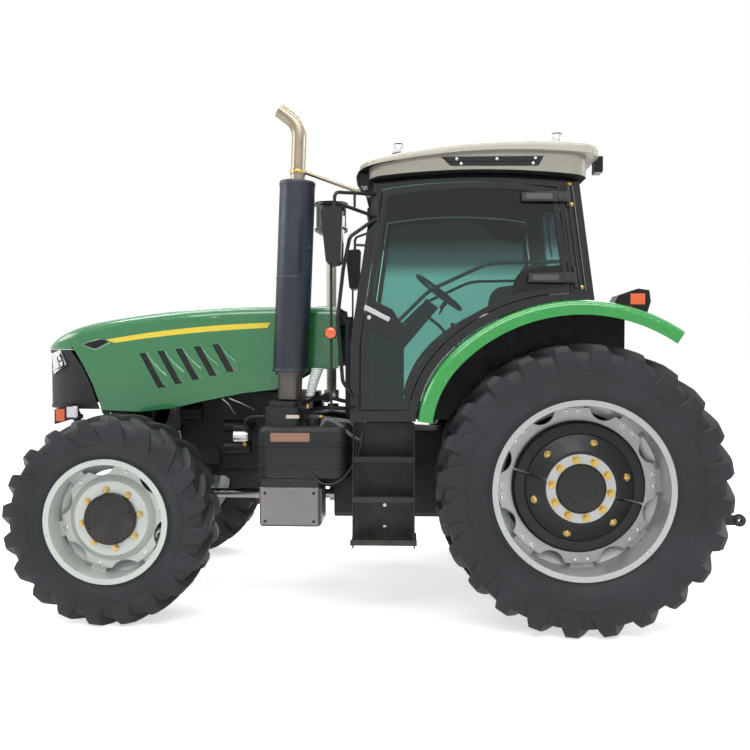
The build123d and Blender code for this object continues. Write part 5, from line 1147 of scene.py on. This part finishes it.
# Black printed borders on the door glass, round the hinges.
border_black = finish("glass_border_black", rgb(12, 14, 15), 0.10, drift=0.06, grain=0.0, shine=0.4)
side_slab("glass_border_high", [
    (-0.710, 2.728), (-0.772, 2.700), (-0.814, 2.655), (-0.862, 2.602), (-0.946, 2.578),
    (-1.103, 2.564), (-1.087, 2.704), (-0.900, 2.718)], 0.0012, border_black, "door_{side}",
    0.012, place=on_cab, rise=-0.0097)
side_slab("glass_border_low", [
    (-1.138, 2.238), (-0.990, 2.223), (-0.896, 2.206), (-0.848, 2.164), (-0.827, 2.105),
    (-0.818, 2.031), (-0.770, 1.994), (-0.770, 1.982), (-0.900, 2.024), (-1.000, 2.045),
    (-1.100, 2.058), (-1.166, 2.061)], 0.0012, border_black, "door_{side}", 0.010,
    place=on_cab, rise=-0.0097)
# Lock barrel on each door's latch plate.
lock = bmesh.new()
lathe_solid(lock, [(-0.002, 0), (-0.002, 0.014), (0.004, 0.013), (0.005, 0.006), (0.003, 0.005),
                   (0.003, 0)], 20)
upright(lock)
lock_mesh = mesh_of("door_lock", lock)
for side, sign in both_sides:
    place = on_cab(0.080, 1.905, 0.001)
    set_out(f"door_lock_{side}", lock_mesh, [((place.x, sign * place.y, place.z), (0, sign, 0.07))],
            white_zinc, f"door_{side}")

# ---- Glass
# Blue-green tinted panes; the doors' darker top is a painted reflection of a dark ceiling. The
# rear window's fittings at its top are black, and a gas strut stands behind its right half.
def glass_finish(name, low_colour, high_colour, low_z, high_z, shine=0.5):
    """Clear tinted glass that casts a tinted shadow, darker above a height as a painted reflection.
    """
    mat = bpy.data.materials.new(name)
    mat.use_nodes = True
    tree = mat.node_tree
    face = tree.nodes["Principled BSDF"]
    coords = node(tree, "TexCoord").outputs["Object"]
    height = node(tree, "SeparateXYZ", {0: coords}).outputs["Z"]
    share = node(tree, "MapRange", {"Value": height, "From Min": low_z, "From Max": high_z})
    tint = blend(tree, share.outputs["Result"], low_colour, high_colour)
    smear = node(tree, "MapRange", {"Value": noise(tree, coords, 3.0, 5.0), "From Min": 0.4,
                                    "From Max": 0.8, "To Min": 0.004, "To Max": 0.05})
    feed(face, {"Transmission Weight": 1.0, "IOR": 1.45, "Specular IOR Level": shine,
                "Roughness": smear.outputs["Result"], "Base Color": tint})
    path = node(tree, "LightPath")
    passing = calc(tree, "MAXIMUM", path.outputs["Is Shadow Ray"], path.outputs["Is Diffuse Ray"])
    clear = node(tree, "BsdfTransparent", {"Color": tint})
    mix = node(tree, "MixShader", {0: passing, 1: face.outputs[0], 2: clear.outputs[0]})
    feed(tree.nodes["Material Output"], {"Surface": mix.outputs[0]})
    return mat


# The doors' dark colour above about 2.3 m is painted reflection, not part of the glass's tint.
door_tint_painted_reflection = glass_finish("door_glass_teal", rgb(150, 198, 190), rgb(72, 92, 92), 2.28, 2.40, 0.4)
end_tint = glass_finish("end_glass_pale", rgb(205, 228, 232), rgb(190, 216, 222), 2.0, 2.7)
dress(door_tint_painted_reflection, "door_glass_left", "door_glass_right")
dress(end_tint, "windshield", "rear_window")
dress_where("rear_window", cab_black, lambda c, n: c.z > 2.715)
strut = [(-1.220, -0.35, 2.695), (-1.257, -0.30, 2.405)]
strip_along("rear_window_strut", strut, 0.007, cab_black, "rear_window",
            mirror_too=False)

# ---- Roof
# Moulded roof in a warm pale grey, a little darker on its lower band, with a black ventilation
# panel let into each side under five screws; its downward faces inside are charcoal.
roof_grey = finish("roof_warm_grey", rgb(176, 173, 160), 0.40, coat=0.15, drift=0.05,
                   grain=0.0003, grain_scale=500.0, edge=0.006)
roof_band = finish("roof_band_grey", rgb(150, 147, 135), 0.42, drift=0.06, grain=0.0003,
                   grain_scale=500.0, edge=0.006)
roof_underside = finish("roof_underside_charcoal", rgb(30, 33, 34), 0.8, drift=0.1, grain=0.0008,
                     grain_scale=260.0, shine=0.2)
dress(roof_grey, "cab_roof")
dress_where("cab_roof", roof_band, lambda c, n: abs(c.y) < 0.7865 and c.z < 2.945
            and abs(n.z) < 0.6)
dress_where("cab_roof", roof_underside, lambda c, n: n.z < -0.7 and c.z < 2.88)
recess_floor_y = 0.7712


def on_roof_side(x, z, out=0.0):
    """Point on the floor of the roof's side recess."""
    return Vector((x, recess_floor_y + out, z))


panel_black = finish("roof_panel_black", rgb(22, 24, 26), 0.40, drift=0.15, grain=0.0004,
                     edge=0.003, shine=0.3)
side_slab("roof_panel", [(-0.374, 2.900), (-1.006, 2.900), (-0.975, 2.846), (-0.434, 2.849)], 0.007,
          panel_black, "chassis", 0.008, place=on_roof_side)
side_slab("roof_panel_rib", [(-0.410, 2.880), (-0.990, 2.880), (-0.988, 2.874), (-0.414, 2.874)],
          0.010, panel_black, "chassis", 0.002, place=on_roof_side)
panel_screw = cap_screw("panel_screw", 0.0065, 0.005)
for side, sign in both_sides:
    set_out(f"roof_panel_screws_{side}", panel_screw, [
        ((x, sign * 0.7795, z), (0, sign, 0)) for x, z in (
            (-0.470, 2.890), (-0.497, 2.860), (-0.720, 2.888), (-0.958, 2.892), (-0.944, 2.860))],
        white_zinc, "chassis")
visor_bracket = [(0.142, 0.690, 2.838), (0.158, 0.690, 2.800), (0.150, 0.690, 2.750),
                 (0.120, 0.690, 2.712), (0.092, 0.690, 2.700)]
strip_along("visor_bracket", visor_bracket, 0.008, trim_black, "chassis")

# ---- Mirrors and side lamps
# Black tubes and mirror heads, whose glass looks back, and small orange side lamps on the rods.
dress(moulded, "mirrors")
mirror_face = finish("mirror_silvering", rgb(200, 208, 212), 0.03, metal=1.0, drift=0.03, grain=0.0,
                     edge=0.001)


def pane(name, corners, push, material, body):
    """Thin pane from its corners in space, given a thickness; its right-hand twin is added."""
    bm = bmesh.new()
    face = bm.faces.new([bm.verts.new(corner) for corner in corners])
    bmesh.ops.bevel(bm, geom=list(face.verts), offset=0.016, segments=4, affect="VERTICES")
    made = bmesh.ops.extrude_face_region(bm, geom=bm.faces[:])
    bmesh.ops.translate(bm, verts=[g for g in made["geom"] if isinstance(g, bmesh.types.BMVert)],
                        vec=push)
    on_both_sides(name, mesh_of(name, bm, material, smooth=25), body)


pane("mirror_glass", [(0.2355, 0.918, 2.232), (0.2355, 1.082, 2.232), (0.2235, 1.082, 2.520),
                      (0.2235, 0.918, 2.520)], (-0.004, 0.0, 0.0), mirror_face, "chassis")
marker = bmesh.new()
lathe_solid(marker, [(-0.004, 0), (-0.004, 0.034), (0.004, 0.033), (0.011, 0.022), (0.013, 0)], 28)
upright(marker)
set_out("side_markers", mesh_of("side_marker", marker),
        [((0.298, 1.041, 1.800), (0, 1, 0)), ((0.298, -1.041, 1.800), (0, -1, 0))], orange_lens,
        "chassis")

# ---- Dashboard, steering wheel and controls
# Charcoal moulded dashboard with a hooded gauge face, a soft-rimmed steering wheel, an arm console
# with levers beside the seat, and two pedals.
dash_grey = finish("dash_charcoal", rgb(44, 46, 48), 0.6, drift=0.12, grain=0.0006,
                   grain_scale=420.0, edge=0.004, shine=0.35)
wheel_grip = finish("steering_wheel_grip", rgb(26, 27, 29), 0.48, drift=0.15, grain=0.0006,
                    grain_scale=520.0, edge=0.002, shine=0.35)
knob_red = finish("lever_knob_red", rgb(176, 38, 30), 0.35, drift=0.1, edge=0.002)
dress(dash_grey, "dashboard")
dress(wheel_grip, "steering_wheel")
dress(moulded, "seat_base")
plate("arm_console", (-0.960, -0.470, 1.700), (-0.480, -0.330, 1.790), 0.030, dash_grey, "chassis",
      4)
plate("arm_console_foot", (-0.900, -0.430, 1.301), (-0.680, -0.345, 1.705), 0.020, dash_grey,
      "chassis", 3)
plate("side_display", (-0.330, -0.520, 1.930), (-0.295, -0.300, 2.090), 0.012, dash_grey, "chassis",
      3)
strip_along("display_arm", [(-0.500, -0.420, 1.780), (-0.420, -0.430, 1.880),
                            (-0.320, -0.420, 1.960)], 0.012, dash_grey, "chassis",
            mirror_too=False)
knob_bm = bmesh.new()
lathe_solid(knob_bm, [(-0.095, 0), (-0.095, 0.006), (0.0, 0.006), (0.002, 0.014), (0.022, 0.019),
                      (0.034, 0.013), (0.038, 0)], 16)
upright(knob_bm)
knob = mesh_of("lever_knob", knob_bm)
set_out("console_levers", knob, [((x, -0.400 + dy, 1.872), (0.25, 0.0, 1.0)) for x, dy in (
    (-0.520, 0.03), (-0.570, -0.02), (-0.620, 0.03))], knob_red, "chassis")
set_out("column_levers", knob, [((-0.420, 0.150, 2.010), (-0.2, 0.9, 0.5)),
                                ((-0.420, -0.150, 2.010), (-0.2, -0.9, 0.5))], dash_grey,
        "chassis")
for label, y in (("brake", -0.150), ("clutch", 0.150)):
    plate(f"pedal_{label}", (-0.200, y - 0.045, 1.420), (-0.178, y + 0.045, 1.520), 0.008,
          wheel_grip, "chassis", 3)

# ---- Seat
# Two foam cushions in grey cloth. Each is crowned, pulls in between its corners and has two sewn
# channels down its length, with a piped edge round its face.
seat_cloth = bpy.data.materials.new("seat_grey_cloth")
seat_cloth.use_nodes = True
cloth_tree = seat_cloth.node_tree
cloth_coords = node(cloth_tree, "TexCoord").outputs["Object"]
warp = node(cloth_tree, "TexWave", {"Vector": cloth_coords, "Scale": 190.0}, bands_direction="X")
weft = node(cloth_tree, "TexWave", {"Vector": cloth_coords, "Scale": 190.0}, bands_direction="Y")
weave_height = calc(cloth_tree, "MULTIPLY", warp.outputs["Fac"], weft.outputs["Fac"])
cloth_tone = blend(cloth_tree, noise(cloth_tree, cloth_coords, 30.0, 6.0), rgb(48, 52, 56),
                   rgb(86, 92, 96))
cloth_bump = node(cloth_tree, "Bump", {"Height": weave_height, "Strength": 0.5,
                                       "Distance": 0.0008})
feed(cloth_tree.nodes["Principled BSDF"], {
    "Base Color": cloth_tone, "Roughness": 0.92, "Sheen Weight": 0.35, "Specular IOR Level": 0.2,
    "Normal": cloth_bump.outputs[0]})
piping_black = finish("seat_piping_black", rgb(22, 23, 25), 0.6, drift=0.1, edge=0.001, shine=0.3)


def cushion(name, length, width, depth, crown, frame_matrix):
    """Crowned pad with pulled-in sides and two sewn channels; its face looks along local +Z."""
    bm = bmesh.new()
    bmesh.ops.create_cube(bm, size=2.0)
    bmesh.ops.subdivide_edges(bm, edges=bm.edges[:], cuts=22, use_grid_fill=True)
    for vertex in bm.verts:
        u, v, w = vertex.co
        # corners are rounded in plan by pulling the square towards a superellipse
        plan = (abs(u) ** 5 + abs(v) ** 5) ** 0.2 or 1.0
        square = max(abs(u), abs(v)) or 1.0
        u, v = u * square / plan, v * square / plan
        edge_pull = 1 - 0.035 * (1 - w * w) - 0.02 * (1 - abs(u) ** 2) * abs(v) ** 6
        side_round = 1 - 0.16 * abs(w) ** 6
        x = 0.5 * length * u * edge_pull * (1 - 0.10 * abs(w) ** 8)
        y = 0.5 * width * v * edge_pull * (1 - 0.10 * abs(w) ** 8)
        z = 0.5 * depth * w * side_round
        if w > 0:
            dome = (1 - u * u) * (1 - v * v)
            channel = sum(math.exp(-((v - at) / 0.06) ** 2) for at in (-0.46, 0.46))
            cross = math.exp(-((u - 0.15) / 0.045) ** 2) * (abs(v) < 0.46)
            z += w * (crown * dome - 0.010 * (channel + 0.7 * cross) * (1 - u ** 6))
            z += w * 0.004 * math.sin(9.0 * u + 2.0) * math.sin(7.0 * v)
        vertex.co = frame_matrix @ Vector((x, y, z))
    made = mounted(name, mesh_of(name, bm, seat_cloth, smooth=180), "chassis")
    return made


pad_place = Matrix.Translation((-0.770, 0.0, 1.622))
seat_pad = cushion("seat_cushion", 0.490, 0.490, 0.110, 0.016, pad_place)
back_lean = math.atan2(80.0, 720.0)
# the back's face looks forward: local Z goes to +X, local X goes up
back_place = (Matrix.Translation((-1.012, 0.0, 1.985)) @ Matrix.Rotation(-back_lean, 4, "Y")
              @ Matrix(((0, 0, 1, 0), (0, 1, 0, 0), (1, 0, 0, 0), (0, 0, 0, 1))))
back_pad = cushion("seat_back_cushion", 0.640, 0.470, 0.100, 0.014, back_place)
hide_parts("seat")
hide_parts("seat")


def piping(name, length, width, height, frame_matrix):
    """Thin sewn bead round a cushion's face."""
    points = []
    for k in range(48):
        turn = 2 * math.pi * k / 48
        u, v = math.cos(turn), math.sin(turn)
        scale = (abs(u) ** 5 + abs(v) ** 5) ** -0.2
        points.append(frame_matrix @ Vector((0.5 * length * u * scale, 0.5 * width * v * scale,
                                             height)))
    strip_along(name, points, 0.004, piping_black, "chassis", mirror_too=False,
                closed=True)


piping("seat_piping", 0.462, 0.462, 0.042, pad_place)
piping("seat_back_piping", 0.606, 0.442, 0.038, back_place)

# ---- Ducts and wires behind the hood
# A white ribbed duct comes down beside the muffler, and two pale looms run under the hood's edge.
duct_bm = bmesh.new()
duct_top_x, duct_low_x, duct_bow = 0.420, 0.473, 0.25
duct_top_z, duct_low_z, duct_y = 1.579, 1.396, 0.620
duct_steps, duct_sides, duct_ribs = 66, 24, 11
duct_rings = []
for k in range(duct_steps + 1):
    share = k / duct_steps
    z = duct_top_z + (duct_low_z - duct_top_z) * share
    x = duct_top_x + (duct_low_x - duct_top_x) * (share + duct_bow * share * (1 - share))
    radius = 0.040 - 0.012 * share + 0.0022 * math.sin(share * 2 * math.pi * duct_ribs)
    turns = [2 * math.pi * t / duct_sides for t in range(duct_sides)]
    duct_rings.append([duct_bm.verts.new((x + radius * math.cos(turn),
                                          duct_y + radius * math.sin(turn), z)) for turn in turns])
for one, two in zip(duct_rings, duct_rings[1:]):
    for t in range(duct_sides):
        after = (t + 1) % duct_sides
        duct_bm.faces.new((one[t], one[after], two[after], two[t]))
duct_bm.faces.new(duct_rings[0])
duct_bm.faces.new(duct_rings[-1])
mounted("ribbed_duct", mesh_of("ribbed_duct", duct_bm, duct_white), "chassis")
hose("pale_loom_a", [(1.093, 0.45, 1.365), (1.052, 0.44, 1.337), (1.043, 0.36, 1.280),
                     (1.043, 0.215, 1.235)], 0.007, duct_white)
hose("pale_loom_b", [(1.045, 0.45, 1.371), (0.983, 0.44, 1.344), (0.930, 0.34, 1.304),
                     (0.904, 0.225, 1.270)], 0.007, duct_white)

# ---- Three-point linkage
# Forged arms and links in satin black, a plated top link, and turned pin ends.
dress(cast_black, "lift_arms", "lower_links")
dress(step_black, "lift_rods")
dress(machined, "top_link")
